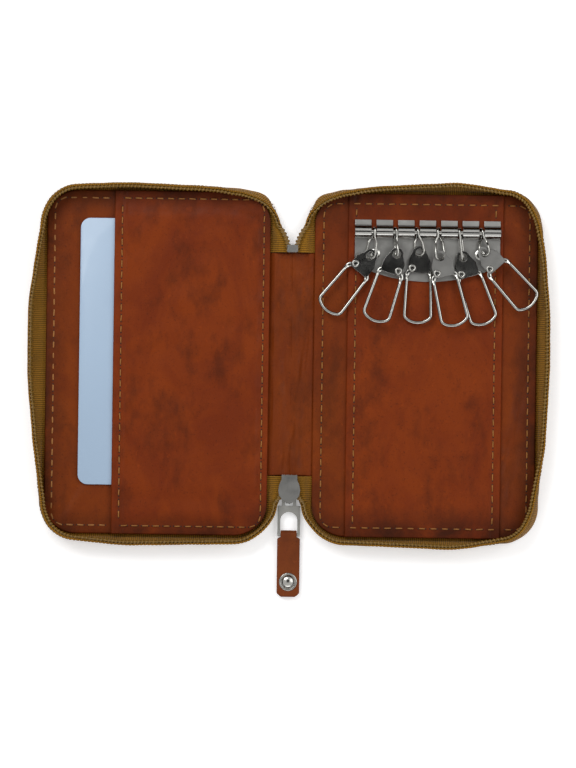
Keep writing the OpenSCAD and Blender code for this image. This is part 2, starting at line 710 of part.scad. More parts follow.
// The sheet bail: two eyes on the crown's pin, a flat bridge, an arched opening and a round crossbar.
module pull_bail()
    color(steel_c) {
        translate([0, pin_y, pin_z]) rotate([0, 90, 0])
            translate([0, 0, -crown_w]) cylinder(h = 2 * crown_w, r = pin_r, $fn = 32);
        for (s = [-1, 1])
            translate([s * (crown_w / 2 + slip * 3) - (s < 0 ? crown_w / 2 : 0), bail_neck_y, bail_z])
                cube([crown_w / 2, pin_y - bail_neck_y, bail_t]);
        difference() {
            translate([-pull_w / 2, bail_low_y, bail_z])
                cube([pull_w, bail_neck_y - bail_low_y + bail_arm_w, bail_t]);
            translate([-bail_hole_w / 2, bail_low_y - over, bail_z - over])
                cube([bail_hole_w, bail_arch_y - bail_low_y + over, bail_t + 2 * over]);
            translate([0, bail_arch_y, bail_z - over])
                cylinder(h = bail_t + 2 * over, r = bail_hole_w / 2, $fn = 48);
        }
        translate([-pull_w / 2, bail_low_y, pin_z]) rotate([0, 90, 0])
            cylinder(h = pull_w, r = bar_cross_r, $fn = 32);
    }

tab_gap = 0.1;
tab_shank_share = 0.333;
tab_cut_share = 0.2;
tab_tip_share = 0.3;
tab_rivet_share = 1.65;
tab_half = bar_cross_r + tab_gap + tab_t;
tab_end_y = bail_low_y - tab_l + tab_half;
tab_w = bail_hole_w - 4 * slip;
tab_rivet_y = tab_end_y + tab_rivet_r * tab_rivet_share;
tab_cut_y = tab_end_y + pull_w * tab_cut_share;

// The folded leather strip: a round turn over the bail's crossbar and two layers that meet below it.
module pull_tab()
    color(outer_c)
        difference() {
            union() {
                translate([-tab_w / 2, bail_low_y, pin_z]) rotate([0, 90, 0])
                    cylinder(h = tab_w, r = tab_half, $fn = 48);
                translate([-pull_w / 2, tab_cut_y, pin_z - tab_t])
                    cube([pull_w, bail_low_y - tab_cut_y - tab_half, 2 * tab_t]);
                translate([-tab_w / 2, bail_low_y - tab_half - over, pin_z - tab_t])
                    cube([tab_w, tab_half + over, 2 * tab_t]);
                translate([0, 0, pin_z - tab_t]) linear_extrude(height = 2 * tab_t)
                    polygon([[-pull_w / 2, tab_cut_y], [pull_w / 2, tab_cut_y],
                        [pull_w * tab_tip_share, tab_end_y], [-pull_w * tab_tip_share, tab_end_y]]);
            }
            translate([-pull_w, bail_low_y, pin_z]) rotate([0, 90, 0])
                cylinder(h = 2 * pull_w, r = bar_cross_r + tab_gap, $fn = 48);
            translate([0, tab_rivet_y, pin_z - tab_t - over])
                cylinder(h = 2 * tab_t + 2 * over, r = tab_rivet_r * tab_shank_share, $fn = 32);
        }

cap_h = 0.35;
dome_low_share = 0.76;
dome_top_share = 0.4;
cap_share = 0.8;
module pull_rivet()
    color(steel_c)
        translate([0, tab_rivet_y, pin_z]) {
            translate([0, 0, -tab_t]) cylinder(h = 2 * tab_t, r = tab_rivet_r * tab_shank_share, $fn = 32);
            translate([0, 0, tab_t]) cylinder(h = cap_h / 2, r = tab_rivet_r, $fn = 48);
            translate([0, 0, tab_t + cap_h / 2]) cylinder(h = dome_h, r1 = tab_rivet_r * dome_low_share,
                r2 = tab_rivet_r * dome_top_share, $fn = 48);
            translate([0, 0, -tab_t - cap_h]) cylinder(h = cap_h, r = tab_rivet_r * cap_share, $fn = 48);
        }

spine_leather();
spine_lining();
zip_tape_ends();
zip_coil_ends();
zip_stop();
cover_leather(-1);  // left_cover_leather
board(-1);  // left_board
cover_lining(-1);  // left_lining
card_pocket();
zip_tape(-1);  // left_zip_tape
zip_coil(-1);  // left_zip_coil
cover_leather(1);  // right_cover_leather
board(1);  // right_board
cover_lining(1);  // right_lining
key_panel();
zip_tape(1);  // right_zip_tape
zip_coil(1);  // right_zip_coil
key_bar();
key_bar_rod();
key_bar_rivets();
card();
zip_slider();
pull_bail();
pull_tab();
pull_rivet();
hook_link(1);  // hook_link_1
hook_link(2);  // hook_link_2
hook_link(3);  // hook_link_3
hook_link(4);  // hook_link_4
hook_link(5);  // hook_link_5
hook_link(6);  // hook_link_6
hook_plate(1);  // hook_plate_1
hook_plate(2);  // hook_plate_2
hook_plate(3);  // hook_plate_3
hook_plate(4);  // hook_plate_4
hook_plate(5);  // hook_plate_5
hook_plate(6);  // hook_plate_6
hook_rivet(1);  // hook_rivet_1
hook_rivet(2);  // hook_rivet_2
hook_rivet(3);  // hook_rivet_3
hook_rivet(4);  // hook_rivet_4
hook_rivet(5);  // hook_rivet_5
hook_rivet(6);  // hook_rivet_6
hook_loop(1);  // hook_loop_1
hook_loop(2);  // hook_loop_2
hook_loop(3);  // hook_loop_3
hook_loop(4);  // hook_loop_4
hook_loop(5);  // hook_loop_5
hook_loop(6);  // hook_loop_6
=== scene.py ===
"""Dresses the zip-around key case with leather, thread, zip, card and plated metal, in the case's frame."""

import json
import math

import bmesh
import bpy
import numpy as np
from bpy.props import FloatProperty, FloatVectorProperty, PointerProperty
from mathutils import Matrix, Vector


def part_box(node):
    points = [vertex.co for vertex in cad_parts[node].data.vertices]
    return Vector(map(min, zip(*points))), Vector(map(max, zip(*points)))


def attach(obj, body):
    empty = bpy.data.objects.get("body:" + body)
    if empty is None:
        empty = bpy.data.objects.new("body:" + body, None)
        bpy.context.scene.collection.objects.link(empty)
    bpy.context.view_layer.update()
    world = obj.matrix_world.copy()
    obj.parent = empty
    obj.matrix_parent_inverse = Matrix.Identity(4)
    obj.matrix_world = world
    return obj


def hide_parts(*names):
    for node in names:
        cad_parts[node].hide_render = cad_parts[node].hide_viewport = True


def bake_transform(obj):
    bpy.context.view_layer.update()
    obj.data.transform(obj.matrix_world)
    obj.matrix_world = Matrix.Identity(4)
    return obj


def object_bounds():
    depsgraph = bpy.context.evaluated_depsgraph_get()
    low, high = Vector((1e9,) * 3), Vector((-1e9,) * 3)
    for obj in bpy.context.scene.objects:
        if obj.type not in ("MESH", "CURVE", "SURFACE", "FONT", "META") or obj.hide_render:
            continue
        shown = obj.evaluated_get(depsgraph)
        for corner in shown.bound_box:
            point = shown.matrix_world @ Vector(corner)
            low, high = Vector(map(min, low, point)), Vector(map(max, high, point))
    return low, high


bl_info = {
    "name": "Key Case Dresser",
    "version": (1, 0, 0),
    "blender": (4, 5, 0),
    "location": "View3D > Sidebar > Key Case",
    "description": "Builds the leather, thread, zip and hardware of an open zip-around key case",
    "category": "Object",
}

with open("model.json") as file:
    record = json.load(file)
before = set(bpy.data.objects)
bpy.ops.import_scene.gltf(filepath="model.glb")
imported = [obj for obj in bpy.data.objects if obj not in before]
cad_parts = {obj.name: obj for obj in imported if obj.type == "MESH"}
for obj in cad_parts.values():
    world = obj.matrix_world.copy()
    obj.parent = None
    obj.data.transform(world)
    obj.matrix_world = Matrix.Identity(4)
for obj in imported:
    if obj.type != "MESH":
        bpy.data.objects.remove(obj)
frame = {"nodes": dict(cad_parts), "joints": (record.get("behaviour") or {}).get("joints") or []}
cad_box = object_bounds()

MM = 0.001


def node_box(node):
    """Lowest and highest corners of a CAD node, as arrays in metres."""
    low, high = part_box(node)
    return np.array(low), np.array(high)


# Places read from the frame
RIGHT_LOW, RIGHT_HIGH = node_box("right_cover_leather")
LINING_LOW, LINING_HIGH = node_box("right_lining")
POCKET_LOW, POCKET_HIGH = node_box("card_pocket")
PANEL_LOW, PANEL_HIGH = node_box("key_panel")
CARD_LOW, CARD_HIGH = node_box("card")
SPINE_HIGH = node_box("spine_leather")[1]
STRIP_LOW, STRIP_HIGH = node_box("spine_lining")
BAR_LOW, BAR_HIGH = node_box("key_bar")
SLIDER_HIGH = node_box("zip_slider")[1]
TAB_LOW, TAB_HIGH = node_box("pull_tab")
RIVET_LOW, RIVET_HIGH = node_box("pull_rivet")
FOLD_X = RIGHT_LOW[0]
EDGE_X = RIGHT_HIGH[0]
HALF_L = RIGHT_HIGH[1]
LINING_TOP = LINING_HIGH[2]
HOOKS = range(1, 7)
SIDES = {"left": -1, "right": 1}


def linear(colour):
    """A colour written in display values, turned into the linear values that shaders read."""
    c = np.array(colour, float)
    return tuple(np.where(c <= 0.04045, c / 12.92, ((c + 0.055) / 1.055) ** 2.4))


# Properties


def size_prop(name, description, default):
    return FloatProperty(name=name, description=description, default=default, unit="LENGTH", precision=4)


def colour_prop(name, description, default):
    return FloatVectorProperty(
        name=name, description=description, default=default, subtype="COLOR_GAMMA", size=3, min=0, max=1
    )


class KeyCaseSizes(bpy.types.PropertyGroup):
    """Sizes that the dressing adds to the frame"""

    stitch_pitch: size_prop("Stitch pitch", "Distance from one stitch to the next", 3.43 * MM)
    stitch_length: size_prop("Stitch length", "Length of thread that shows in one stitch", 2.35 * MM)
    thread_radius: size_prop("Thread radius", "Radius of the sewing thread", 0.2 * MM)
    coil_pitch: size_prop("Coil pitch", "Length of one turn of the zip's coil", 1.2 * MM)
    coil_wire: size_prop("Coil wire", "Radius of the coil's monofilament", 0.3 * MM)
    crease_depth: size_prop("Crease depth", "Depth of the soft creases in the lining", 0.22 * MM)
    edge_radius: size_prop("Edge radius", "Roundness of the cut leather edges", 0.35 * MM)
    metal_bevel: size_prop("Metal bevel", "Width of the broken edges on plated metal", 0.09 * MM)


class KeyCaseColours(bpy.types.PropertyGroup):
    """Colours of the case's materials"""

    lining: colour_prop("Lining", "Lining leather of the covers and spine", (0.405, 0.158, 0.020))
    panel: colour_prop("Panels", "Leather of the card pocket and key panel", (0.418, 0.152, 0.020))
    outer: colour_prop("Outer leather", "Leather of the outside", (0.405, 0.170, 0.060))
    tab: colour_prop("Pull tab", "Leather of the pull tab", (0.415, 0.190, 0.080))
    tape: colour_prop("Zip tape", "Woven tape of the zip", (0.500, 0.345, 0.075))
    coil: colour_prop("Zip coil", "Monofilament of the zip", (0.500, 0.370, 0.110))
    thread: colour_prop("Thread", "Sewing thread", (0.600, 0.380, 0.120))
    card: colour_prop("Card", "Blank card", (0.620, 0.705, 0.795))
    nickel: colour_prop("Nickel", "Plated sheet metal", (0.640, 0.635, 0.620))
    chrome: colour_prop("Chrome", "Plated wire and bar", (0.640, 0.635, 0.615))


def sizes():
    return bpy.context.scene.key_case_sizes


def colours():
    return bpy.context.scene.key_case_colours


# Meshes


def placed(name, data):
    """A new object in the scene, from a mesh, a lamp or a camera."""
    thing = bpy.data.objects.new(name, data)
    bpy.context.scene.collection.objects.link(thing)
    return thing


def new_piece(name, vertices, faces, uv=None, smooth=True, rim=None):
    """A mesh object from arrays of corners and faces, at the origin, with faces turned outwards."""
    mesh = bpy.data.meshes.new(name)
    points = np.asarray(vertices, float).reshape(-1, 3)
    mesh.from_pydata(points.tolist(), [], [list(map(int, f)) for f in faces])
    if uv is not None:
        layer = mesh.uv_layers.new(name="Surface")
        corner = np.zeros(len(mesh.loops), np.int32)
        mesh.loops.foreach_get("vertex_index", corner)
        layer.data.foreach_set("uv", np.asarray(uv, np.float32).reshape(-1, 2)[corner].ravel())
    # The rim values carry the painted shade near the leather's rims
    if rim is not None:
        layer = mesh.attributes.new("rim", "FLOAT", "POINT")
        layer.data.foreach_set("value", np.asarray(rim, np.float32).ravel())
    bm = bmesh.new()
    bm.from_mesh(mesh)
    bmesh.ops.recalc_face_normals(bm, faces=bm.faces)
    bm.to_mesh(mesh)
    bm.free()
    mesh.polygons.foreach_set("use_smooth", np.full(len(mesh.polygons), smooth))
    mesh.set_sharp_from_angle(angle=math.radians(75))
    return placed(name, mesh)


def grid_faces(nu, nv, wrap_u=False, wrap_v=False, start=0):
    """Quads of an nu by nv grid of points, numbered row by row, joined round where it wraps."""
    i = np.arange(nu if wrap_u else nu - 1)
    j = np.arange(nv if wrap_v else nv - 1)
    i, j = np.meshgrid(i, j, indexing="ij")
    i2, j2 = (i + 1) % nu, (j + 1) % nv
    quads = np.stack([i * nv + j, i2 * nv + j, i2 * nv + j2, i * nv + j2], -1).reshape(-1, 4)
    return quads + start


def ring_faces(count, sides, closed=False):
    """Faces of a row of rings, joined in order, with a face over each end unless the row is closed."""
    faces = grid_faces(count, sides, wrap_u=closed, wrap_v=True).tolist()
    if not closed:
        faces += [list(range(sides)), list(range((count - 1) * sides, count * sides))]
    return faces


def ringed(name, rings, closed=False, smooth=True):
    """A solid through rings that have the same number of points."""
    return new_piece(name, rings, ring_faces(len(rings), len(rings[0]), closed), smooth=smooth)


def copied(name, copies, faces):
    """Small copies of one shape as one mesh: the points of each copy, and the faces that every copy has."""
    size = len(copies[0])
    every = [[corner + k * size for corner in face] for k in range(len(copies)) for face in faces]
    return new_piece(name, np.concatenate(copies), every)


def shell(name, top, bottom, uv=None, rim=None):
    """A closed sheet: two grids of one size, joined round their rims."""
    nu, nv = top.shape[:2]
    n = nu * nv
    index = np.arange(n).reshape(nu, nv)
    border = np.concatenate([index[:-1, 0], index[-1, :-1], index[:0:-1, -1], index[0, :0:-1]])
    after = np.roll(border, -1)
    sides = np.stack([border, after, after + n, border + n], -1)
    faces = np.concatenate([grid_faces(nu, nv), grid_faces(nu, nv, start=n)[:, ::-1], sides])
    both = np.concatenate([top.reshape(-1, 3), bottom.reshape(-1, 3)])
    if uv is not None:
        uv = np.concatenate([uv.reshape(-1, 2)] * 2)
    if rim is not None:
        rim = np.concatenate([rim.ravel()] * 2)
    return new_piece(name, both, faces, uv, rim=rim)


def unit(vectors):
    """Vectors shortened to a length of one."""
    return vectors / np.linalg.norm(vectors, axis=-1, keepdims=True)


def steps(path):
    """The distance along a line at each of its points."""
    return np.concatenate([[0], np.cumsum(np.linalg.norm(np.diff(path, axis=0), axis=1))])


def places(path, at):
    """Places at given distances along a line."""
    step = steps(path)
    return np.stack([np.interp(at, step, path[:, k]) for k in range(path.shape[1])], -1)


def full_turn(sides):
    """The angles of a circle's points."""
    return np.linspace(0, 2 * np.pi, sides, endpoint=False)


def tube_rings(path, radius, sides, closed=False, up=(0, 0, 1)):
    """Rings of a round tube along a path: each point plus the radius times cosine and sine of two square
    directions."""
    path = np.asarray(path, float)
    if closed:
        way = np.roll(path, -1, 0) - np.roll(path, 1, 0)
    else:
        way = np.gradient(path, axis=0)
    way = unit(way)
    side = unit(np.cross(way, np.broadcast_to(up, way.shape)))
    over = np.cross(side, way)
    a = full_turn(sides)[None, :, None]
    r = np.broadcast_to(np.asarray(radius, float), (len(path),))[:, None, None]
    return path[:, None] + r * (np.cos(a) * side[:, None] + np.sin(a) * over[:, None])


# A revolved profile starts this close to its axis
ON_AXIS = 0.001 * MM


def revolved(name, profile, centre, sides):
    """A solid of revolution about Z: the radius and height of a closed profile, turned round the centre."""
    profile = np.asarray(profile, float)[:, None]
    a = full_turn(sides)
    ring = np.stack([np.cos(a), np.sin(a)], -1)
    height = np.broadcast_to(profile[..., 1:], (len(profile), sides, 1))
    points = np.concatenate([profile[..., :1] * ring, height], -1)
    return ringed(name, points + (*centre[:2], 0))


def noise_2d(x, y, scale, seed):
    """A smooth random height between -1 and 1: a few waves of random direction and phase, added up."""
    rng = np.random.default_rng(seed)
    total = np.zeros(np.broadcast(x, y).shape)
    waves = 14
    for _ in range(waves):
        angle, phase, stretch = rng.uniform(0, 2 * np.pi), rng.uniform(0, 2 * np.pi), rng.uniform(0.6, 1.7)
        total = total + np.sin((x * np.cos(angle) + y * np.sin(angle)) / scale * 2 * np.pi * stretch + phase)
    return total / math.sqrt(waves * 2)


def smooth_step(t):
    """A share that rises from 0 to 1 as t does, level at both ends: three t squared less two t cubed."""
    t = np.clip(t, 0, 1)
    return t * t * (3 - 2 * t)


def quarter(t):
    """Height of a quarter circle of radius 1 over t, which runs from its foot at 0 to its top at 1."""
    return np.sqrt(1 - (1 - np.clip(t, 0, 1)) ** 2)


def dense_ends(n):
    """Values from -1 to 1 that lie closer together towards both ends: a sine."""
    return np.sin(np.linspace(-np.pi / 2, np.pi / 2, n))


def merged(name, objects):
    """Several mesh objects joined into the first, renamed."""
    bm = bmesh.new()
    for o in objects:
        bm.from_mesh(o.data)
    mesh = bpy.data.meshes.new(name)
    bm.to_mesh(mesh)
    bm.free()
    for o in objects:
        bpy.data.objects.remove(o)
    return placed(name, mesh)


def finished(piece, body, slot, material, *nodes):
    """Gives a piece its material and the body it rides on, and hides the CAD nodes it replaces; the slot is
    not used.
    """
    piece.data.materials.clear()
    piece.data.materials.append(material)
    if body:
        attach(piece, body)
    if nodes:
        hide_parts(*nodes)
    return piece


def dressed_copy(node, body, slot, material, bevel=None):
    """A CAD node's own shape as one clean mesh with broken edges, in place of the node."""
    source = frame["nodes"][node]
    mesh = source.data.copy()
    bm = bmesh.new()
    bm.from_mesh(mesh)
    bmesh.ops.remove_doubles(bm, verts=bm.verts, dist=2e-6)
    bmesh.ops.dissolve_limit(bm, angle_limit=math.radians(1), verts=bm.verts, edges=bm.edges)
    bmesh.ops.recalc_face_normals(bm, faces=bm.faces)
    bm.to_mesh(mesh)
    bm.free()
    mesh.polygons.foreach_set("use_smooth", np.full(len(mesh.polygons), True))
    mesh.set_sharp_from_angle(angle=math.radians(50))
    piece = placed(node + "_finish", mesh)
    trim = piece.modifiers.new("Broken edges", "BEVEL")
    trim.width = bevel or sizes().metal_bevel
    trim.segments = 2
    trim.limit_method = "ANGLE"
    trim.angle_limit = math.radians(35)
    even = piece.modifiers.new("Flat faces stay flat", "WEIGHTED_NORMAL")
    even.keep_sharp = True
    return finished(piece, body, slot, material, node)


# Materials


class Surface:
    """A node material under construction: its shader, and short ways to add textures that feed it."""

    def __init__(self, name, colour, roughness=0.5, metallic=0.0):
        self.material = bpy.data.materials.new(name)
        self.material.use_nodes = True
        self.nodes, self.links = self.material.node_tree.nodes, self.material.node_tree.links
        self.shader = self.nodes["Principled BSDF"]
        self.shader.inputs["Base Color"].default_value = (*linear(colour), 1)
        self.shader.inputs["Roughness"].default_value = roughness
        self.shader.inputs["Metallic"].default_value = metallic
        self.place = self.nodes.new("ShaderNodeTexCoord").outputs["Object"]

    def mapped(self, scale=(1, 1, 1), uv=False):
        """Object coordinates, or the piece's own UV map, stretched."""
        source = self.place
        if uv:
            source = self.nodes.new("ShaderNodeUVMap").outputs["UV"]
        node = self.nodes.new("ShaderNodeMapping")
        node.inputs["Scale"].default_value = scale
        self.links.new(source, node.inputs["Vector"])
        return node.outputs["Vector"]

    def noise(self, scale, detail=3, rough=0.55, vector=None, warp=0.0):
        """Soft clouds with a value between 0 and 1."""
        node = self.nodes.new("ShaderNodeTexNoise")
        node.inputs["Scale"].default_value = scale
        node.inputs["Detail"].default_value = detail
        node.inputs["Roughness"].default_value = rough
        node.inputs["Distortion"].default_value = warp
        self.links.new(vector or self.place, node.inputs["Vector"])
        return node.outputs["Fac"]

    def cells(self, scale):
        """Distance to the borders of small irregular cells, as between the pebbles of a grain."""
        node = self.nodes.new("ShaderNodeTexVoronoi")
        node.feature = "DISTANCE_TO_EDGE"
        node.inputs["Scale"].default_value = scale
        self.links.new(self.place, node.inputs["Vector"])
        return node.outputs["Distance"]

    def bands(self, pitch, vector, direction, warp):
        """Waves that repeat at a pitch, given in the vector's own units."""
        node = self.nodes.new("ShaderNodeTexWave")
        node.bands_direction = direction
        node.inputs["Scale"].default_value = 2 * math.pi / 20 / pitch
        node.inputs["Distortion"].default_value = warp
        node.inputs["Detail"].default_value = 1
        self.links.new(vector, node.inputs["Vector"])
        return node.outputs["Fac"]

    def span(self, value, low, high, to_low=0.0, to_high=1.0):
        """A value between low and high moved to another span, and held inside it."""
        node = self.nodes.new("ShaderNodeMapRange")
        for key, number in zip(("From Min", "From Max", "To Min", "To Max"), (low, high, to_low, to_high)):
            node.inputs[key].default_value = number
        self.links.new(value, node.inputs["Value"])
        return node.outputs["Result"]

    def sum_of(self, a, b, operation="ADD"):
        """Two values added, or joined by another operation of the Math node."""
        node = self.nodes.new("ShaderNodeMath")
        node.operation = operation
        self.links.new(a, node.inputs[0])
        self.links.new(b, node.inputs[1])
        return node.outputs[0]

    def product(self, a, b):
        """Two values multiplied."""
        return self.sum_of(a, b, "MULTIPLY")

    def tint(self, fac, colour, base=None):
        """The colour so far, moved towards another where fac is high."""
        node = self.nodes.new("ShaderNodeMix")
        node.data_type = "RGBA"
        start, end, out = node.inputs[6], node.inputs[7], node.outputs[2]
        if base is None:
            start.default_value = self.shader.inputs["Base Color"].default_value
        else:
            self.links.new(base, start)
        end.default_value = (*linear(colour), 1)
        self.links.new(fac, node.inputs[0])
        return out

    def colour(self, socket):
        self.links.new(socket, self.shader.inputs["Base Color"])

    def roughness(self, socket):
        self.links.new(socket, self.shader.inputs["Roughness"])

    def bump(self, height, distance, strength=1.0, after=None):
        """Fine relief by height, on top of the relief that is given as after."""
        node = self.nodes.new("ShaderNodeBump")
        node.inputs["Distance"].default_value = distance
        node.inputs["Strength"].default_value = strength
        self.links.new(height, node.inputs["Height"])
        if after is not None:
            self.links.new(after, node.inputs["Normal"])
        self.links.new(node.outputs["Normal"], self.shader.inputs["Normal"])
        return node.outputs["Normal"]


def shade(colour, factor):
    """A colour made lighter or darker."""
    return tuple(min(1.0, c * factor) for c in colour)


def leather(name, colour, grain=900.0, mottle=0.5, gloss=0.52):
    """Waxed leather: cloudy dye, dark pores, rubbed light spots, a pebbled grain and fine wrinkles, with
    painted shade towards the rims.
    """
    s = Surface(name, colour, gloss)
    cloud = s.span(s.noise(62, 5, 0.66, s.mapped((1, 0.6, 1)), warp=0.6), 0.38, 0.62, 0, min(1, 1.5 * mottle))
    warm = (min(1, colour[0] * 1.16), colour[1] * 1.27, colour[2] * 1.05)
    mixed = s.tint(cloud, warm)
    dark = s.span(s.noise(115, 5, 0.62, s.mapped((1, 0.55, 1))), 0.5, 0.7, 0, mottle * 1.2)
    mixed = s.tint(dark, shade(colour, 0.72), mixed)
    pores = s.span(s.noise(1500, 2, 0.5), 0.6, 0.74, 0, 0.4)
    mixed = s.tint(pores, shade(colour, 0.55), mixed)
    rubbed = s.span(s.noise(420, 3, 0.7, s.mapped((1, 0.7, 1))), 0.63, 0.78, 0, 0.4)
    mixed = s.tint(rubbed, shade(warm, 1.22), mixed)
    # Painted shade: darker towards the leather's rims, as far as the rim attribute reaches, broken up by
    # clouds
    edge = s.nodes.new("ShaderNodeAttribute")
    edge.attribute_name = "rim"
    painted_rim_shade = s.product(edge.outputs["Fac"], s.span(s.noise(75, 4, 0.65, warp=0.4), 0.3, 0.62, 0.1, 1))
    s.colour(s.tint(painted_rim_shade, shade(colour, 0.56), mixed))
    s.roughness(s.span(s.noise(260, 3), 0.3, 0.7, gloss - 0.09, gloss + 0.12))
    s.shader.inputs["Specular IOR Level"].default_value = 0.12
    first = s.bump(s.cells(grain), 0.00009, 0.55)
    second = s.bump(s.noise(2600, 2), 0.00005, 0.5, first)
    s.bump(s.noise(150, 3, 0.6, s.mapped((1, 0.4, 1))), 0.0006, 0.32, second)
    return s.material


def woven(name, colour):
    """Zip tape: ribs across the tape and finer ends along it, on its own UV map in millimetres, with a
    painted highlight on the thread tops and painted shade in the weave's low parts."""
    s = Surface(name, colour, 0.82)
    rib_pitch, end_pitch = 0.62, 0.5
    ribs = s.bands(rib_pitch, s.mapped(uv=True), "X", 0.25)
    ends = s.bands(end_pitch, s.mapped(uv=True), "Y", 0.2)
    weave = s.product(s.span(ribs, 0, 1, 0.15, 1), s.span(ends, 0, 1, 0.55, 1))
    # Painted highlight on the thread tops and painted shade in the low parts of the weave, both following its
    # relief
    mixed = s.tint(s.span(weave, 0.15, 0.8, 0.0, 0.9), shade(colour, 1.3))
    low = s.span(weave, 0.1, 0.4, 0.75, 0)
    mixed = s.tint(low, shade(colour, 0.55), mixed)
    dark = s.span(s.noise(90, 3), 0.4, 0.75, 0, 0.5)
    s.colour(s.tint(dark, shade(colour, 0.66), mixed))
    s.shader.inputs["Sheen Weight"].default_value = 0.1
    s.shader.inputs["Specular IOR Level"].default_value = 0.15
    s.bump(weave, 0.00016, 1.0)
    return s.material


def filament(name, colour, roughness=0.4, twist=2200.0):
    """Nylon or thread: slight streaks of colour and a fine twist."""
    s = Surface(name, colour, roughness)
    streak = s.span(s.noise(twist, 2), 0.35, 0.7, 0, 0.6)
    s.colour(s.tint(streak, shade(colour, 0.68)))
    s.bump(s.noise(twist * 2, 1), 0.00004, 0.6)
    return s.material


def plated(name, colour, roughness, haze=0.06):
    """Plated metal: a bright coat with faint haze, small dents and polishing lines."""
    s = Surface(name, colour, roughness, 1.0)
    s.roughness(s.span(s.noise(240, 4), 0.3, 0.75, roughness, roughness + haze))
    s.colour(s.tint(s.span(s.noise(500, 3), 0.5, 0.8, 0, 0.35), shade(colour, 0.86)))
    first = s.bump(s.noise(900, 2, 0.5, s.mapped((1, 0.08, 1))), 0.00001, 0.2)
    s.bump(s.noise(150, 2), 0.00008, 0.12, first)
    return s


def bar_metal(name, colour, rod_y, lip_y):
    """The key bar's plating: bright on the rolled knuckles, worn to satin on the plate and the lip, with a
    painted dark reflection in the crease between them."""
    s = plated(name, colour, 0.13)
    parts = s.nodes.new("ShaderNodeSeparateXYZ")
    s.links.new(s.place, parts.inputs[0])
    y = parts.outputs["Y"]
    plate = s.span(y, rod_y - 2.2 * MM, rod_y - 1.8 * MM, 0.15, 0)
    lip = s.span(y, lip_y - 0.1 * MM, lip_y + 0.2 * MM, 0, 0.2)
    s.roughness(s.sum_of(s.sum_of(plate, lip), s.span(s.noise(240, 4), 0.3, 0.75, 0.13, 0.2)))
    # Painted reflection: a dark band across the crease between the roll and the lip, in place of the dark
    # reflection on the roll's upper flank
    above_rod = s.span(y, rod_y + 1.0 * MM, rod_y + 1.5 * MM, 0, 0.8)
    painted_crease_reflection = s.product(above_rod, s.span(y, lip_y + 0.1 * MM, lip_y + 0.4 * MM, 1, 0))
    worn = s.tint(s.span(s.noise(500, 3), 0.5, 0.8, 0, 0.35), shade(colour, 0.86))
    s.colour(s.tint(painted_crease_reflection, (0.12, 0.1, 0.09), worn))
    return s


def card_face(name, colour):
    """A blank plastic card: an even pale face with a satin coat and faint rubbing."""
    s = Surface(name, colour, 0.34)
    s.colour(s.tint(s.span(s.noise(22, 2), 0.35, 0.7, 0, 0.35), shade(colour, 1.06)))
    s.roughness(s.span(s.noise(180, 3), 0.3, 0.7, 0.3, 0.42))
    s.shader.inputs["Coat Weight"].default_value = 0.2
    s.bump(s.noise(700, 2), 0.00001, 0.3)
    return s.material


def fibre(name, colour):
    """Pressed fibre board: flecks and a rough face."""
    s = Surface(name, colour, 0.85)
    s.colour(s.tint(s.span(s.noise(800, 3), 0.45, 0.7, 0, 0.6), shade(colour, 0.75)))
    s.bump(s.noise(1200, 2), 0.00006, 0.6)
    return s.material


def make_materials():
    """Every material of the case, by a short name."""
    c = colours()
    return {
        "lining": leather("lining_leather", c.lining, 950, 0.55),
        "panel": leather("panel_leather", c.panel, 900, 0.6),
        "outer": leather("outer_leather", c.outer, 620, 0.5, 0.48),
        "tab": leather("tab_leather", c.tab, 1000, 0.35, 0.5),
        # Painted shade of the needle holes: a dark fibre colour for the small caps over them
        "hole": fibre("needle_hole", (0.17, 0.07, 0.03)),
        "tape": woven("zip_tape", c.tape),
        "coil": filament("zip_coil", c.coil, 0.38, 1400),
        "thread": filament("sewing_thread", c.thread, 0.6),
        "card": card_face("card", c.card),
        "nickel": plated("nickel", c.nickel, 0.12, 0.08).material,
        "worn": plated("nickel_worn", shade(c.nickel, 0.8), 0.32, 0.1).material,
        "bar": bar_metal("nickel_bar", c.nickel, joint("link_swing_1")[1], BAR_HIGH[1] - 1.9 * MM).material,
        "chrome": plated("chrome", c.chrome, 0.14).material,
        "satin": plated("chrome_satin", c.chrome, 0.32, 0.1).material,
        "board": fibre("board", (0.62, 0.54, 0.42)),
    }


MATERIALS = {}


# Leather sheets


def half_length(x):
    """Half the outer leather's length at a distance x from the spine's middle: the spine, the near corner,
    the straight part and the far corner."""
    r = corner_radius()
    cover = HALF_L - 2 * r + r * quarter((x - FOLD_X) / r) + r * quarter((EDGE_X - x) / r)
    notch_from, notch_wide = FOLD_X - 0.9 * MM, 0.8 * MM
    notch = np.clip((x - notch_from) / notch_wide, 0, 1)
    return SPINE_HIGH[1] + (cover - SPINE_HIGH[1]) * notch


def corner_radius():
    """Radius of the cover's corners, which the card pocket also follows: a share of the half length."""
    corner_share = 0.19573
    return HALF_L * corner_share


def rim_drop(distance, radius):
    """How far a rounded rim falls below the full height at a distance from the edge: a quarter circle."""
    return radius * (1 - quarter(distance / radius))


def eased(n, power):
    """Values from 0 to 1 that lie closer together towards both ends: half a cosine wave."""
    t = np.linspace(0, 1, n)
    return t + power * (0.5 - 0.5 * np.cos(np.pi * t) - t)


def sheet_grid(x, half, v):
    """A grid of places over a sheet: columns at x, which reach by half to either side, shared out by v."""
    return np.repeat(x[:, None], len(v), 1), half[:, None] * v


def sheet(name, x, y, top, bottom, rim=None):
    """A closed sheet over a grid of places, between the heights of its top and bottom faces."""
    faces = [np.stack([x, y, np.broadcast_to(z, x.shape)], -1) for z in (top, bottom)]
    return shell(name, *faces, rim=rim)


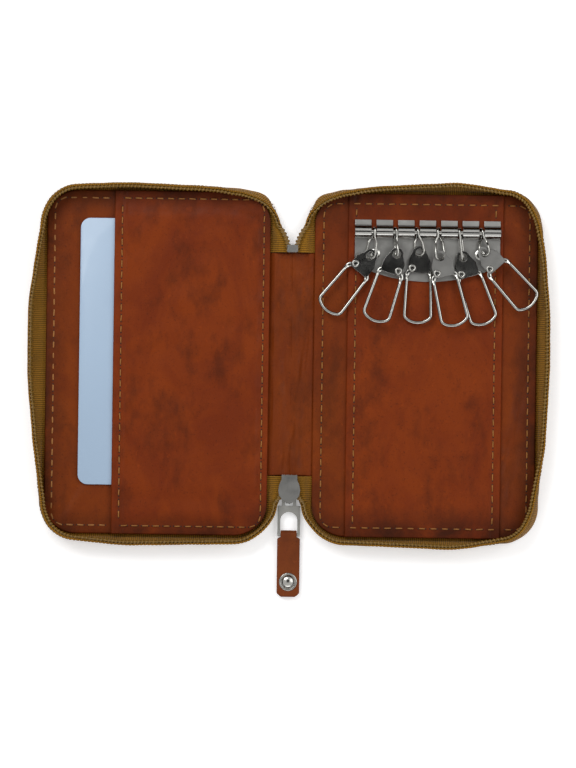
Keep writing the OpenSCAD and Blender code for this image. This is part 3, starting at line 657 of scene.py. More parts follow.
def outer_leather(name, side):
    """Half of the outer leather, from the spine's middle round to the rim: a sheet whose length follows
    half_length, crowned a little and rounded at its rim."""
    r = corner_radius()
    x = np.concatenate(
        [
            np.linspace(0, FOLD_X - 1.0 * MM, 12),
            np.linspace(FOLD_X - 0.8 * MM, FOLD_X + 0.4 * MM, 7),
            FOLD_X + 0.4 * MM + (r - 0.4 * MM) * eased(22, 0.6)[1:],
            np.linspace(FOLD_X + r, EDGE_X - r, 40)[1:],
            EDGE_X - r * (1 - np.sin(np.linspace(0, np.pi / 2, 26)))[1:],
        ]
    )
    v = dense_ends(150)
    half = half_length(x)
    grid_x, grid_y = sheet_grid(x, half, v)
    gap = np.minimum(half[:, None] * (1 - np.abs(v)), EDGE_X - grid_x)
    drop = rim_drop(gap, sizes().edge_radius)
    ripple = 0.05 * MM * noise_2d(grid_x, grid_y, 19 * MM, 4)
    inside_rim = drop < 1e-9
    bottom = np.maximum(drop + ripple * inside_rim, 0) * 0.9
    return sheet(name, side * grid_x, grid_y, RIGHT_HIGH[2] - drop, bottom)


# The deeper creases of each cover's lining and of the spine's: start, end, share of the crease depth, width.
# Places are in millimetres from the spine's middle, away from it on the covers.
COVER_CREASES = {
    1: [((75.6, -2), (68.8, -36), 3, 1.5), ((73.2, -24), (69.5, -48), 2, 1.2)],
    -1: [((62, -30), (74, -50), 1.6, 1.5)],
}
SPINE_CREASES = [((6.1, 16), (3.0, -6.7), 1.3, 0.9), ((3.0, -6.7), (-1.8, -34), 1.5, 1.0)]

# How far the painted shade reaches in from the leather's rims
RIM_SHADE_REACH = 8 * MM


def crease(x, y, start, end, depth, width):
    """A soft valley along a straight line: the depth times a bell curve of the distance from the line.

    The line's ends and the width are in millimetres."""
    start, end, width = MM * np.array(start), MM * np.array(end), MM * width
    length = np.linalg.norm(end - start)
    way = (end - start) / length
    along = (x - start[0]) * way[0] + (y - start[1]) * way[1]
    off = (x - start[0]) * way[1] - (y - start[1]) * way[0]
    fade = 1 / (1 + np.exp(-along / width)) / (1 + np.exp((along - length) / width))
    return -depth * np.exp(-((off / width) ** 2)) * fade


def lining(name, side):
    """A cover's lining: a sheet inside the outer leather's rim, with ripples, creases, a round edge and
    painted shade near its outer rim.
    """
    edge = LINING_HIGH[0]
    inset, dense = EDGE_X - edge, 12 * MM
    x = np.concatenate(
        [
            FOLD_X + dense * (1 - np.cos(np.linspace(0, np.pi / 2, 36))),
            np.linspace(FOLD_X + dense, edge - dense, 90)[1:],
            edge - dense * (1 - np.sin(np.linspace(0, np.pi / 2, 30)))[1:],
        ]
    )
    v = dense_ends(190)
    r = corner_radius() - inset
    near = (x - FOLD_X) / (r + inset)
    far = (edge - x) / r
    half = LINING_HIGH[1] - 2 * r + r * quarter(near) + r * quarter(far)
    grid_x, grid_y = sheet_grid(x, half, v)
    outer = np.minimum(half[:, None] * (1 - np.abs(v)), edge - grid_x)
    gap = np.minimum(outer, grid_x - FOLD_X)
    depth = sizes().crease_depth
    wave = 0.35 * depth * noise_2d(grid_x * side, grid_y, 17 * MM, 7 + side)
    for start, end, deep, wide in COVER_CREASES[side]:
        wave += crease(grid_x, grid_y, start, end, depth * deep, wide)
    inside = np.clip(gap / (3 * MM), 0, 1)
    height = LINING_TOP - rim_drop(gap, 0.5 * MM) + wave * inside
    # Painted shade, strongest at the lining's outer rim
    painted_rim_shade = np.clip(1 - outer / RIM_SHADE_REACH, 0, 1)
    return sheet(name, side * grid_x, grid_y, height, LINING_LOW[2], painted_rim_shade)


def spine_strip(name, side):
    """Half of the lining strip on the spine, tucked under the cover's lining, with soft folds along it."""
    x = np.linspace(0, FOLD_X + 1.4 * MM, 44)
    y = STRIP_HIGH[1] * dense_ends(160)
    grid_x, grid_y = np.meshgrid(x, y, indexing="ij")
    full = STRIP_HIGH[2] + 0.25 * MM
    tuck_from, tuck_wide, tuck_down = FOLD_X - 1.6 * MM, 1.8 * MM, 0.55 * MM
    tuck = np.clip((grid_x - tuck_from) / tuck_wide, 0, 1)
    depth = sizes().crease_depth * 1.5
    fold_pitch, wander = 6.2 * MM, 31 * MM
    signed = grid_x * side
    folds = depth * (
        0.8 * np.sin(2 * np.pi * signed / fold_pitch + 0.8 * np.sin(grid_y / wander))
        + 0.5 * noise_2d(signed, grid_y * 0.22, 4.2 * MM, 21)
    )
    for start, end, deep, wide in SPINE_CREASES:
        folds += crease(signed, grid_y, start, end, depth * deep, wide)
    end_gap = STRIP_HIGH[1] - np.abs(grid_y)
    height = full + folds * (1 - tuck) - tuck_down * tuck - rim_drop(end_gap, 0.4 * MM)
    return sheet(name, signed, grid_y, height, STRIP_LOW[2] + 0.02 * MM)


# The pocket leather's thickness, and how far the seam along its mouth lies from the edge
POCKET_SHEET = 0.8 * MM
POCKET_SEAM_IN = 2.45 * MM


def pocket_height(x, y):
    """Height of the card pocket's top face, its half length and its hem's height at a place: sewn down along
    three sides, lifted over the card, with a folded hem along its mouth and a groove under the hem's seam."""
    mouth, root, corner = POCKET_LOW[0], POCKET_HIGH[0], corner_radius()
    r = corner - 1 * MM
    half = POCKET_HIGH[1] - r + r * quarter((-x - FOLD_X) / corner)
    sewn = LINING_TOP + POCKET_SHEET + 0.08 * MM
    end_flat, end_ramp, root_flat, root_ramp = 3.2 * MM, 4.5 * MM, 1.6 * MM, 2.8 * MM
    from_ends = smooth_step((half - end_flat - np.abs(y)) / end_ramp)
    up = from_ends * smooth_step((root - root_flat - x) / root_ramp)
    slope = 5 * MM
    below_top = smooth_step((CARD_HIGH[1] + slope - y) / slope)
    over_card = below_top * smooth_step((y - CARD_LOW[1] + slope) / slope)
    lift = (POCKET_HIGH[2] - sewn) * up * (0.45 + 0.55 * over_card)
    ripple = 0.5 * sizes().crease_depth * noise_2d(x, y, 14 * MM, 31) * up
    groove_deep, groove_wide = 0.16 * MM, 0.5 * MM
    groove = groove_deep * np.exp(-(((x - mouth - POCKET_SEAM_IN) / groove_wide) ** 2))
    hem_high, hem_wide, hem_step = 0.2 * MM, 3.6 * MM, 0.5 * MM
    hem = hem_high * (1 - smooth_step((x - mouth - hem_wide) / hem_step))
    return sewn + lift + ripple + hem - groove, half, hem


def pocket_sheet(name):
    """The card pocket: a sheet whose top face follows pocket_height, with rounded rims."""
    mouth, root, corner = POCKET_LOW[0], POCKET_HIGH[0], corner_radius()
    dense = 7 * MM
    x = np.concatenate(
        [
            mouth + dense * (1 - np.cos(np.linspace(0, np.pi / 2, 36))),
            np.linspace(mouth + dense, root - corner, 80)[1:],
            root - corner + corner * np.sin(np.linspace(0, np.pi / 2, 36))[1:],
        ]
    )
    grid_x, grid_y = sheet_grid(x, pocket_height(x, 0)[1], dense_ends(200))
    height, half, hem = pocket_height(grid_x, grid_y)
    gap = half - np.abs(grid_y)
    mouth_gap = grid_x - mouth
    drop = rim_drop(np.minimum(gap, root - grid_x), 0.4 * MM) + rim_drop(mouth_gap, 0.45 * MM)
    under = np.maximum(height - POCKET_SHEET - hem, LINING_TOP + 0.02 * MM)
    under = under + rim_drop(mouth_gap, 0.35 * MM) * 0.6
    # Painted shade, strongest at the pocket's upper and lower rims
    painted_rim_shade = np.clip(1 - gap / RIM_SHADE_REACH, 0, 1)
    return sheet(name, grid_x, grid_y, height - drop, under, painted_rim_shade)


# How far the key panel's side seams lie from its edges
PANEL_SEAM_IN = 2.6 * MM


def key_panel_sheet(name):
    """The raised panel under the key bar: a sheet with two folded, stitched edges and shallow wrinkles."""
    x = PANEL_LOW[0] + (PANEL_HIGH[0] - PANEL_LOW[0]) * eased(130, 0.5)
    y = PANEL_HIGH[1] * dense_ends(200)
    grid_x, grid_y = np.meshgrid(x, y, indexing="ij")
    side_gap = np.minimum(grid_x - PANEL_LOW[0], PANEL_HIGH[0] - grid_x)
    inside = np.clip(side_gap / (5 * MM), 0, 1)
    groove_deep, groove_wide = 0.2 * MM, 0.5 * MM
    groove = groove_deep * np.exp(-(((side_gap - PANEL_SEAM_IN) / groove_wide) ** 2))
    hem_high, hem_wide, hem_step = 0.14 * MM, 4.1 * MM, 0.2 * MM
    hem = hem_high / (1 + np.exp((side_gap - hem_wide) / hem_step))
    under_bar = (grid_y < BAR_LOW[1] - 1 * MM) * 1.0
    ripple = 0.45 * sizes().crease_depth * noise_2d(grid_x, grid_y, 15 * MM, 41) * inside * under_bar
    height = PANEL_HIGH[2] - 0.12 * MM + hem - groove + ripple
    end_gap = PANEL_HIGH[1] - np.abs(grid_y)
    height = height - rim_drop(side_gap, 0.5 * MM) - rim_drop(end_gap, 0.3 * MM)
    # Painted shade, strongest at the panel's upper and lower ends
    painted_rim_shade = np.clip(1.2 - end_gap / (9 * MM), 0, 1)
    return sheet(name, grid_x, grid_y, height, LINING_TOP - 0.15 * MM, painted_rim_shade)


# Thread


def stitch_places(path):
    """Distances along a seam to the middle of each of its stitches, spread evenly over it."""
    length = steps(path)[-1]
    number = max(1, int(length / sizes().stitch_pitch))
    return (np.arange(number) + 0.5) * length / number


def stitches(name, runs):
    """Rows of stitches as one mesh. Each run is (points of the seam, share of the full rise): a stitch is a
    bent capsule whose ends dip into the leather, copied to places at even steps along the seam."""
    half = sizes().stitch_length / 2
    radius = sizes().thread_radius
    t = np.linspace(-1, 1, 9)
    a = full_turn(7)
    thick = radius * np.sqrt(np.clip(1 - np.abs(t) ** 6, 0.02, 1))
    rise = radius * (0.75 - 1.7 * t**4)
    base = np.stack(
        [
            np.repeat(t[:, None] * half, len(a), 1),
            thick[:, None] * np.cos(a) * 1.15,
            rise[:, None] + thick[:, None] * np.sin(a),
        ],
        -1,
    ).reshape(-1, 3)
    x, y, z = base.T[:, None]
    copies = []
    rng = np.random.default_rng(5)
    for path, up in runs:
        at = stitch_places(path)
        centre = places(path, at)
        way = places(path, at + half) - places(path, at - half)
        angle = np.arctan2(way[:, 1], way[:, 0]) + rng.normal(0, 0.045, len(at))
        cos, sin = np.cos(angle)[:, None], np.sin(angle)[:, None]
        stretch = rng.uniform(0.9, 1.08, len(at))[:, None]
        turned = [x * cos * stretch - y * sin, x * sin * stretch + y * cos, up * z + 0 * cos]
        copies += list(centre[:, None] + np.stack(turned, -1))
    return copied(name, copies, ring_faces(len(t), len(a)))


def needle_hole_shades(name, runs):
    """Painted shade of the holes that the needle left: a small dark cap at both ends of every stitch along
    the seams.
    """
    sides, radius, depth, rise = 8, 0.27 * MM, 0.1 * MM, 0.03 * MM
    a = full_turn(sides)
    low = np.stack([radius * np.cos(a), radius * np.sin(a), 0 * a - depth], -1)
    cap = np.concatenate([low, low * (0.8, 0.8, 0) + (0, 0, rise)])
    copies = []
    half = sizes().stitch_length / 2
    for path, _ in runs:
        at = stitch_places(path)
        copies += [cap + place for place in places(path, np.concatenate([at - half, at + half]))]
    return copied(name, copies, ring_faces(2, sides))


def seam(points, height, corner=0.0):
    """A seam through points whose corners are rounded by quarter circles: evenly spaced places, at one height
    or at the height that a function gives for their x and y."""
    points = np.asarray(points, float)
    line = [points[:1]]
    for before, here, after in zip(points, points[1:], points[2:]):
        come, go = unit(here - before), unit(after - here)
        t = np.linspace(0, np.pi / 2, 16)[:, None]
        line.append(here + corner * (go * (1 - np.cos(t)) - come * (1 - np.sin(t))))
    line = np.concatenate([*line, points[-1:]])
    x, y = places(line, np.linspace(0, steps(line)[-1], 90 * (len(points) - 1))).T
    z = height(x, y) if callable(height) else np.full(len(x), height)
    return np.stack([x, y, z], -1)


def seam_seat():
    """How far a stitch's middle line lies over the leather."""
    return sizes().thread_radius * 0.3


def seam_corner():
    """Radius of the seam's corners."""
    return corner_radius() - 7 * MM


def left_seams():
    """The left cover's seams: round the lining beside the pocket, round the pocket, and along its mouth.

    The lining's stitches are pulled flat, because the card slides over them."""
    r = seam_corner()
    edge = POCKET_LOW[0]
    mouth, hem = edge - 1.2 * MM, edge + POCKET_SEAM_IN
    near, far, top, low = -9.2 * MM, -76.4 * MM, 52.7 * MM, -52.5 * MM
    pulled_flat, full = 0.3, 1

    def on_pocket(x, y):
        return pocket_height(x, y)[0] + seam_seat()

    return [
        (seam([(mouth, top), (far, top), (far, low), (mouth, low)], LINING_TOP - 0.02 * MM, r), pulled_flat),
        (seam([(hem, top), (near, top), (near, low), (hem, low)], on_pocket, r), full),
        (seam([(hem, top - 2 * MM), (hem, low + 2 * MM)], on_pocket), full),
    ]


def right_seams():
    """The right cover's seams: round the lining beside the key panel, and along all the panel's edges."""
    r = seam_corner()
    near, far, top, low = 10.0 * MM, 76.2 * MM, 51.9 * MM, -52.2 * MM
    left, right = PANEL_LOW[0], PANEL_HIGH[0]
    first, last = left + PANEL_SEAM_IN, right - PANEL_SEAM_IN
    on_lining, on_panel = LINING_TOP + seam_seat(), PANEL_HIGH[2] - 0.18 * MM + seam_seat()
    lines = [
        seam([(left - MM, top), (near, top), (near, low), (left - MM, low)], on_lining, r),
        seam([(right + MM, top), (far, top), (far, low), (right + MM, low)], on_lining, r),
        seam([(left + MM, top), (right - MM, top)], on_panel),
        seam([(left + MM, low), (right - MM, low)], on_panel),
        seam([(first, top - MM), (first, low + MM)], on_panel),
        seam([(last, top - MM), (last, low + MM)], on_panel),
    ]
    return [(line, 1) for line in lines]


# Zip

# How far the zip's coil stands out from the cover's edge, as (share of the edge, share of the tape's width)
OUT_SHARE = {
    "left": [
        (0, 0.5), (0.03, -0.12), (0.06, -0.25), (0.09, -0.04), (0.2, 0.13),
        (0.31, -0.08), (0.36, 0.22), (0.43, 0.64), (0.52, 0.63), (0.6, 0.3),
        (0.68, -0.16), (0.8, 0.31), (0.93, 0.18), (0.97, 0.2), (1, 0.5),
    ],
    "right": [
        (0, 0.5), (0.03, -0.12), (0.06, -0.2), (0.09, 0.06), (0.2, 0.35),
        (0.31, -0.31), (0.36, 0.1), (0.43, 0.36), (0.5, 0.4), (0.6, 0.2),
        (0.69, -0.44), (0.8, 0.32), (0.93, 0.14), (0.97, 0.2), (1, 0.5),
    ],
}

# How high the coil stands there, as a share of what the tape's width leaves: low at the ends, for the slider
RISE_SHARE = [(0, 0.31), (0.03, 0.66), (0.08, 1), (0.92, 1), (0.97, 0.66), (1, 0.31)]

# The tape's width over its root, its sewn hem, half its thickness and its root's height, and the coil's size
TAPE_WIDTH = 7.4 * MM
TAPE_HEM = 2.4 * MM
TAPE_HALF = 0.24 * MM
TAPE_ROOT = LINING_LOW[2] - 0.3 * MM
COIL_WIDTH, COIL_THICK = 2.0 * MM, 1.2 * MM


def shares(table, f):
    """A table of shares read between its entries, rounded off by averaging over a short way."""
    table = np.array(table, float)
    near = np.linspace(-0.012, 0.012, 7)
    return np.mean([np.interp(np.clip(f + d, 0, 1), table[:, 0], table[:, 1]) for d in near], axis=0)


class ZipPath:
    """The way of one zip tape: from the top stop over the spine's end, round the cover's edge and back over
    the spine's other end to the slider.

    For a length u along it, it gives the root's place, the direction outwards from the edge, how far the coil
    stands out and up from the root, and whether the tape lies flat there, as it does over the spine."""

    def __init__(self, name):
        self.side, self.shares = SIDES[name], OUT_SHARE[name]
        self.r = corner_radius()
        self.width, self.half = EDGE_X - FOLD_X, HALF_L
        self.notch = self.half - self.r
        self.start = STRIP_HIGH[1] + 0.15 * MM
        self.spine = self.notch - self.start
        self.quarter = math.pi * self.r / 2
        self.edge = 4 * self.quarter + 2 * (self.width - 2 * self.r) + 2 * self.notch
        self.length = self.edge + 2 * self.spine

    def edge_place(self, s):
        """Point on the cover's edge at a distance s from the upper notch, with the direction outwards."""
        r, q, n = self.r, self.quarter, self.notch
        run, side = self.width - 2 * r, 2 * self.notch
        ends = np.cumsum([q, run, q, side, q, run, q])
        near, far = r, self.width - r
        a = np.select(
            [s < ends[0], s < ends[1], s < ends[2], s < ends[3], s < ends[4], s < ends[5]],
            [
                math.pi - s / r,
                np.full_like(s, math.pi / 2),
                math.pi / 2 - (s - ends[1]) / r,
                np.zeros_like(s),
                -(s - ends[3]) / r,
                np.full_like(s, -math.pi / 2),
            ],
            -math.pi / 2 - (s - ends[5]) / r,
        )
        way = np.stack([np.cos(a), np.sin(a)], -1)
        cx = np.select(
            [s < ends[0], s < ends[1], s < ends[4], s < ends[5]],
            [near, near + s - ends[0], far, far - (s - ends[4])],
            near,
        )
        cy = np.select([s < ends[2], s < ends[3]], [n, n - (s - ends[2])], -n)
        return np.stack([cx, cy], -1) + r * way, way

    def stations(self, u):
        """What the class says, for the lengths u."""
        s = np.clip(u - self.spine, 0, self.edge)
        f = s / self.edge
        root, way = self.edge_place(s)
        before = np.clip(self.spine - u, 0, None)
        after = np.clip(u - self.spine - self.edge, 0, None)
        root[:, 1] += after - before
        root[:, 0] += FOLD_X
        out = TAPE_WIDTH * shares(self.shares, f)
        up = np.sqrt(TAPE_WIDTH**2 - out**2) * shares(RISE_SHARE, f)
        inner = np.clip((before + after) / self.spine, 0, 1)
        half_gap = 0.35 * MM
        end_x = half_gap + (FOLD_X - out - half_gap) * (1 - inner) ** 2
        out = np.where(inner > 0, FOLD_X - end_x, out)
        return root, way, out, up, smooth_step(inner * 4)

    def section(self, u, t):
        """Places on the tape's middle face: u along it, t from 0 at the root to 1 at the coil.

        Below 0, t lies in the hem. On the cover the tape runs straight from the root to the coil with a
        slight belly; over the spine it rises within the first half and then lies flat under the slider."""
        root, way, out, up, flat = self.stations(u)
        t = t[None]
        held = np.clip(t, 0, 1)
        belly = 0.07 * TAPE_WIDTH * np.sin(np.pi * held)
        bulge_out, bulge_at, bulge_wide = 1.5 * MM, 0.03, 0.015
        bulge = bulge_out * np.exp(-(((u - self.spine) / self.edge - bulge_at) / bulge_wide) ** 2)
        leaning = out[:, None] * held + belly * 0.8 + bulge[:, None] * np.sin(np.pi * held**0.7)
        lying = out[:, None] * held
        flat = flat[:, None]
        lift = up[:, None] * ((1 - flat) * held + flat * smooth_step(held * 1.9))
        p = leaning * (1 - flat) + lying * flat + np.where(t < 0, t, 0) * TAPE_HEM
        wave = 0.12 * MM * np.sin(np.pi * held) * noise_2d(u[:, None], t * TAPE_WIDTH, 9 * MM, 60 + self.side)
        x = self.side * (root[:, 0, None] + way[:, 0, None] * (p + wave))
        y = root[:, 1, None] + way[:, 1, None] * (p + wave)
        return np.stack([x, y, TAPE_ROOT + lift + 0 * p], -1)

    def frame_at(self, u):
        """At the tape's upper edge: its place, the direction up the tape, the direction to its inner face,
        and the way along it."""
        rim = self.section(u, np.array([0.88, 1.0]))
        up = unit(rim[:, 1] - rim[:, 0])
        along = unit(np.gradient(rim[:, 1], axis=0))
        across = unit(np.cross(along, up) * self.side)
        return rim[:, 1], up, across, along


def zip_tape(name):
    """One woven tape, offset by half its thickness either way from its middle face."""
    path = ZipPath(name)
    u = np.linspace(0, path.length, 760)
    t = np.concatenate([np.linspace(-1, 0, 5)[:-1], np.linspace(0, 0.9, 17)])
    middle = path.section(u, t)
    normal = unit(np.cross(np.gradient(middle, axis=0), np.gradient(middle, axis=1)))
    uv = np.stack(np.broadcast_arrays(u[:, None] / MM, t[None] * TAPE_WIDTH / MM), -1)
    return shell(name + "_tape", middle + normal * TAPE_HALF, middle - normal * TAPE_HALF, uv)


def zip_coil(name):
    """The coil: one monofilament wound in flattened turns on the tape's inner face, round a thin cord.

    A point of its middle line is the coil's centre plus the half width times cos a along the tape's slope and
    the half thickness times sin a across it, where a grows by one turn in every pitch."""
    path = ZipPath(name)
    pitch, wire = sizes().coil_pitch, sizes().coil_wire
    half_width, half_thick = COIL_WIDTH / 2, COIL_THICK / 2
    turns = int(path.length / pitch)
    u = np.linspace(0.1 * MM, path.length - 0.1 * MM, turns * 13)
    rim, up, across, along = path.frame_at(u)
    centre = rim - up * half_width + across * (TAPE_HALF + half_thick)
    a = 2 * np.pi * (u / pitch)[:, None]
    line = centre + up * (half_width - wire) * np.cos(a) + across * (half_thick - wire) * np.sin(a)
    way = unit(np.gradient(line, axis=0))
    side = unit(np.cross(way, along))
    over = np.cross(side, way)
    ring = full_turn(6)[None, :, None]
    swell = wire * (1 + 0.22 * np.clip(np.cos(a), 0, 1) ** 3)[:, None]
    rings = line[:, None] + swell * (np.cos(ring) * side[:, None] + np.sin(ring) * over[:, None])
    wound = ringed(name + "_coil", rings)
    some = slice(0, None, 6)
    b = full_turn(12)[None, :, None]
    core = centre[some, None] + up[some, None] * (half_width - 1.3 * wire) * np.cos(b)
    core = core + across[some, None] * (half_thick - 1.1 * wire) * np.sin(b)
    return merged(name + "_coil", [wound, ringed(name + "_coil_cord", core)])


def zip_seams(name):
    """Two rows of small stitches that hold the coil on the tape, on the tape's outer face."""
    path = ZipPath(name)
    u = np.linspace(2 * MM, path.length - 2 * MM, 500)
    rim, up, across, _ = path.frame_at(u)
    rows = (0.95 * MM, 2.0 * MM)
    return [rim - up * down - across * (TAPE_HALF + 0.03 * MM) for down in rows]


def tape_threads(name):
    """The coil's sewing thread seen on the tape: chains of short bars, each lying along the tape."""
    pitch, radius = sizes().coil_pitch, 0.13 * MM
    sides, bars = 5, []
    for row in zip_seams(name):
        for k in range(int(steps(row)[-1] / pitch)):
            line = places(row, (np.linspace(0.08, 0.86, 4) + k) * pitch)
            under_slider = abs(line[0, 0]) < SLIDER_HIGH[0] and line[0, 1] < 0
            if not under_slider:
                bars.append(tube_rings(line, radius * np.array([0.5, 1, 1, 0.5]), sides).reshape(-1, 3))
    return copied(name + "_tape_thread", bars, ring_faces(4, sides))


# Hooks


def joint(name):
    """Where a joint stands at rest, from the record."""
    for j in frame["joints"]:
        if j["name"] == name:
            return np.array(j["pos_m"], float)
    raise KeyError(name)


def arc(centre, radius, start, end, n):
    """Points of an arc in a plane: the centre plus the radius times cosine and sine, in degrees."""
    a = np.radians(np.linspace(start, end, n))
    return np.stack([centre[0] + radius * np.cos(a), centre[1] + radius * np.sin(a)], -1)


def smooth_closed(points, n):
    """A closed line through points, as n even places, with its corners eased by averaging neighbours."""
    points = np.concatenate([points, points[:1]])
    line = places(points, np.linspace(0, steps(points)[-1], n, endpoint=False))
    for _ in range(3):
        line = (np.roll(line, 1, 0) + 2 * line + np.roll(line, -1, 0)) / 4
    return line


# How far each link has rolled over at the plate, in degrees
LINK_ROLL = [58, 22, 58, -58, -20, 58]

# The hooks whose plates have worn dull
DULL_PLATES = (4, 6)


def link_wire(n):
    """A link: a closed pear-shaped wire that goes round the rod, along to the plate and through its hole.

    It is drawn flat, with p from the rod towards the hole and q across: an arc round the rod, two runs that
    spread and a wide arc through the hole. Each point then turns about the line from rod to hole, by a roll
    that grows with p, so that the link stands upright in its slot and lies over at the plate."""
    rod, hole = joint(f"link_swing_{n}"), joint(f"hook_swivel_{n}")
    flat = hole[:2] - rod[:2]
    reach = np.linalg.norm(flat)
    ahead = flat / reach
    side = np.array([-ahead[1], ahead[0]])
    wire, clear = 0.4 * MM, 0.93 * MM
    roll = LINK_ROLL[n - 1]
    spread = clear / math.cos(math.radians(roll))
    end_r, round_r, seat = 1.4 * MM, 1.3 * MM, 0.75 * MM
    by_rod, halfway = 1.95 * MM, 3.2 * MM
    far = np.radians(np.linspace(-90, 90, 24))
    points = np.concatenate(
        [
            arc((0, 0), round_r, 105, 252, 24),
            [(by_rod, -clear), (halfway, -(spread + clear) / 2)],
            np.stack([reach + seat - end_r + end_r * np.cos(far), spread * np.sin(far)], -1),
            [(halfway, (spread + clear) / 2 + 0.1 * MM)],
        ]
    )
    p, q = smooth_closed(points, 140).T
    at_rod = math.copysign(14, roll)
    turn = np.radians(at_rod + (roll - at_rod) * smooth_step((p - MM) / (2.6 * MM)))
    rise = (hole[2] - rod[2]) * smooth_step((p - 1.4 * MM) / (reach - 2.8 * MM))
    across = q * np.sin(turn)
    height = rod[2] + rise + q * np.cos(turn)
    line = np.concatenate([rod[:2] + p[:, None] * ahead + across[:, None] * side, height[:, None]], -1)
    tilt = math.radians(roll)
    lift = (side[0] * math.cos(tilt), side[1] * math.cos(tilt), -math.sin(tilt))
    return ringed(f"link_{n}_wire", tube_rings(line, wire * 0.98, 14, True, lift), closed=True)


def hook_axes(n):
    """The hook's own frame: its hole, its direction to the right and its direction up the plate, mirrored
    with its rivet."""
    hole, rivet = joint(f"hook_swivel_{n}"), joint(f"loop_open_{n}")
    away = rivet - hole
    reach_in, reach_down = 2.2 * MM, 4.9 * MM
    side = -1 if n != 2 else 1
    angle = math.atan2(away[1], away[0]) - math.atan2(-reach_down, side * reach_in)
    right = np.array([math.cos(angle), math.sin(angle), 0])
    up = np.array([-math.sin(angle), math.cos(angle), 0])
    return hole, right * -side, up


def eyelet(n):
    """A hook's tubular rivet: a rounded ring with a deep hole above the plate and a plain head below it."""
    low, high = node_box(f"hook_rivet_{n}")
    centre = (low + high) / 2
    rim, hole = (high[0] - low[0]) / 2, 0.5 * MM
    middle, half = (rim + hole) / 2, (rim - hole) / 2
    a = np.linspace(0, np.pi, 15)
    edge = 0.12 * MM
    floor = low[2] + 0.3 * MM
    profile = [(ON_AXIS, low[2]), (rim - edge, low[2]), (rim, low[2] + edge)]
    profile += [(middle + half * math.cos(t), high[2] - half * (1 - math.sin(t))) for t in a]
    profile += [(hole * 0.9, floor), (ON_AXIS, floor)]
    return revolved(f"hook_{n}_eyelet", profile, centre, 40)


def loop_wire(n):
    """A hook's bent wire: two legs, two round corners and a curved foot, flattened at both ends where it
    meets the plate."""
    hole, right, up = hook_axes(n)
    wire = 0.55 * MM
    leg, drop, corner = 4.25 * MM, 22.9 * MM, 1.5 * MM
    foot = 9.6 * MM * 0.62
    foot_y = wire - drop + foot
    cx = leg - corner
    cy = foot_y - math.sqrt((foot - corner) ** 2 - cx * cx)
    turn = math.degrees(math.atan2(foot_y - cy, cx))
    near = MM * np.array([(-2.2, -4.9), (-2.9, -5.6), (-3.6, -6.2), (-3.8, -6.9)])
    left = arc((-cx, cy), corner, 180, 180 + turn, 14)
    foot_line = arc((0, foot_y), foot, 180 + turn, 360 - turn, 40)[1:-1]
    far = MM * np.array([(3.8, -6.9), (3.6, -6.2), (2.8, -5.5), (2.2, -4.5)])
    right_corner = arc((cx, cy), corner, 360 - turn, 360, 14)
    legs = np.linspace(0, 1, 20)[1:-1, None]
    left_leg = near[-1] + (left[0] - near[-1]) * legs
    right_leg = right_corner[-1] + (far[0] - right_corner[-1]) * legs
    flat = np.concatenate([near, left_leg, left, foot_line, right_corner, right_leg, far])
    length = steps(flat)[-1]
    at = np.linspace(0, length, 210)
    flat = places(flat, at)
    for _ in range(6):
        flat[1:-1] = (flat[:-2] + 2 * flat[1:-1] + flat[2:]) / 4
    press = smooth_step((4.2 * MM - np.minimum(at, length - at)) / (1.8 * MM))
    height = -0.25 * MM - press * 0.25 * MM
    place = hole + flat[:, :1] * right + flat[:, 1:] * up + np.array([0, 0, 1]) * height[:, None]
    way = np.gradient(place, axis=0)
    way = unit(way * (1, 1, 0))
    side = np.stack([way[:, 1], -way[:, 0], 0 * way[:, 0]], -1)
    a = full_turn(16)[None, :, None]
    wide = wire * (1 + 0.3 * press)[:, None, None]
    thick = wire * (1 - 0.64 * press)[:, None, None]
    rings = place[:, None] + wide * np.cos(a) * side[:, None] + thick * np.sin(a) * (0, 0, 1)
    return ringed(f"loop_{n}_wire", rings)


# Pull

# Thickness of the tab's leather
TAB_LEATHER = 0.8 * MM


def pull_tab():
    """The pull tab: one strip of leather folded over the bail's bar, narrow at the fold, with a blunt tip.

    Its middle line runs up one layer, round the bar and down the other; its half width follows from the
    distance to the tip."""
    bar, tip = joint("tab_swing"), TAB_LOW[1]
    thick = min(TAB_HIGH[2] - bar[2] - 0.6 * MM, TAB_LEATHER)
    turn_r = 0.6 * MM + thick / 2
    meet = thick / 2
    reach = 2.6 * MM
    a = np.linspace(0, 1, 22)[1:-1]
    out_y = bar[1] - tip
    straight = np.stack([np.linspace(tip, bar[1] - reach, 40), np.full(40, -meet)], -1)
    parting = np.stack([bar[1] - reach * (1 - a), -meet - (turn_r - meet) * smooth_step(a)], -1)
    lower = np.concatenate([straight, parting])
    bend = arc((bar[1], 0), turn_r, -90, 90, 30)
    line = np.concatenate([lower, bend, lower[::-1] * (1, -1)]) + (0, bar[2])
    way = unit(np.gradient(line, axis=0))
    normal = np.stack([-way[:, 1], way[:, 0]], -1)
    full, narrow = (TAB_HIGH[0] - TAB_LOW[0]) / 2, 2.6 * MM
    from_tip = line[:, 0] - tip
    cut = np.clip(from_tip / (1.5 * MM), 0, 1)
    neck = smooth_step((line[:, 0] - bar[1] + 1.5 * MM) / (0.8 * MM))
    half = full * (0.6 + 0.4 * np.sin(cut * np.pi / 2)) * (1 - neck) + narrow * neck
    v = dense_ends(34)
    x = half[:, None] * v
    gap = half[:, None] * (1 - np.abs(v))
    end_gap = np.minimum(from_tip, out_y)[:, None]
    drop = rim_drop(np.minimum(gap, end_gap), 0.26 * MM)
    outer = thick / 2 - drop + 0.02 * MM * noise_2d(x, from_tip[:, None], 5 * MM, 77)
    inner = -thick / 2 + drop * 0.7 + 0.01 * MM
    layers = []
    for depth in (-outer, -inner):
        y = line[:, 0, None] + normal[:, 0, None] * depth
        z = line[:, 1, None] + normal[:, 1, None] * depth
        layers.append(np.stack([x, y, z], -1))
    return shell("pull_tab_strip", *layers)


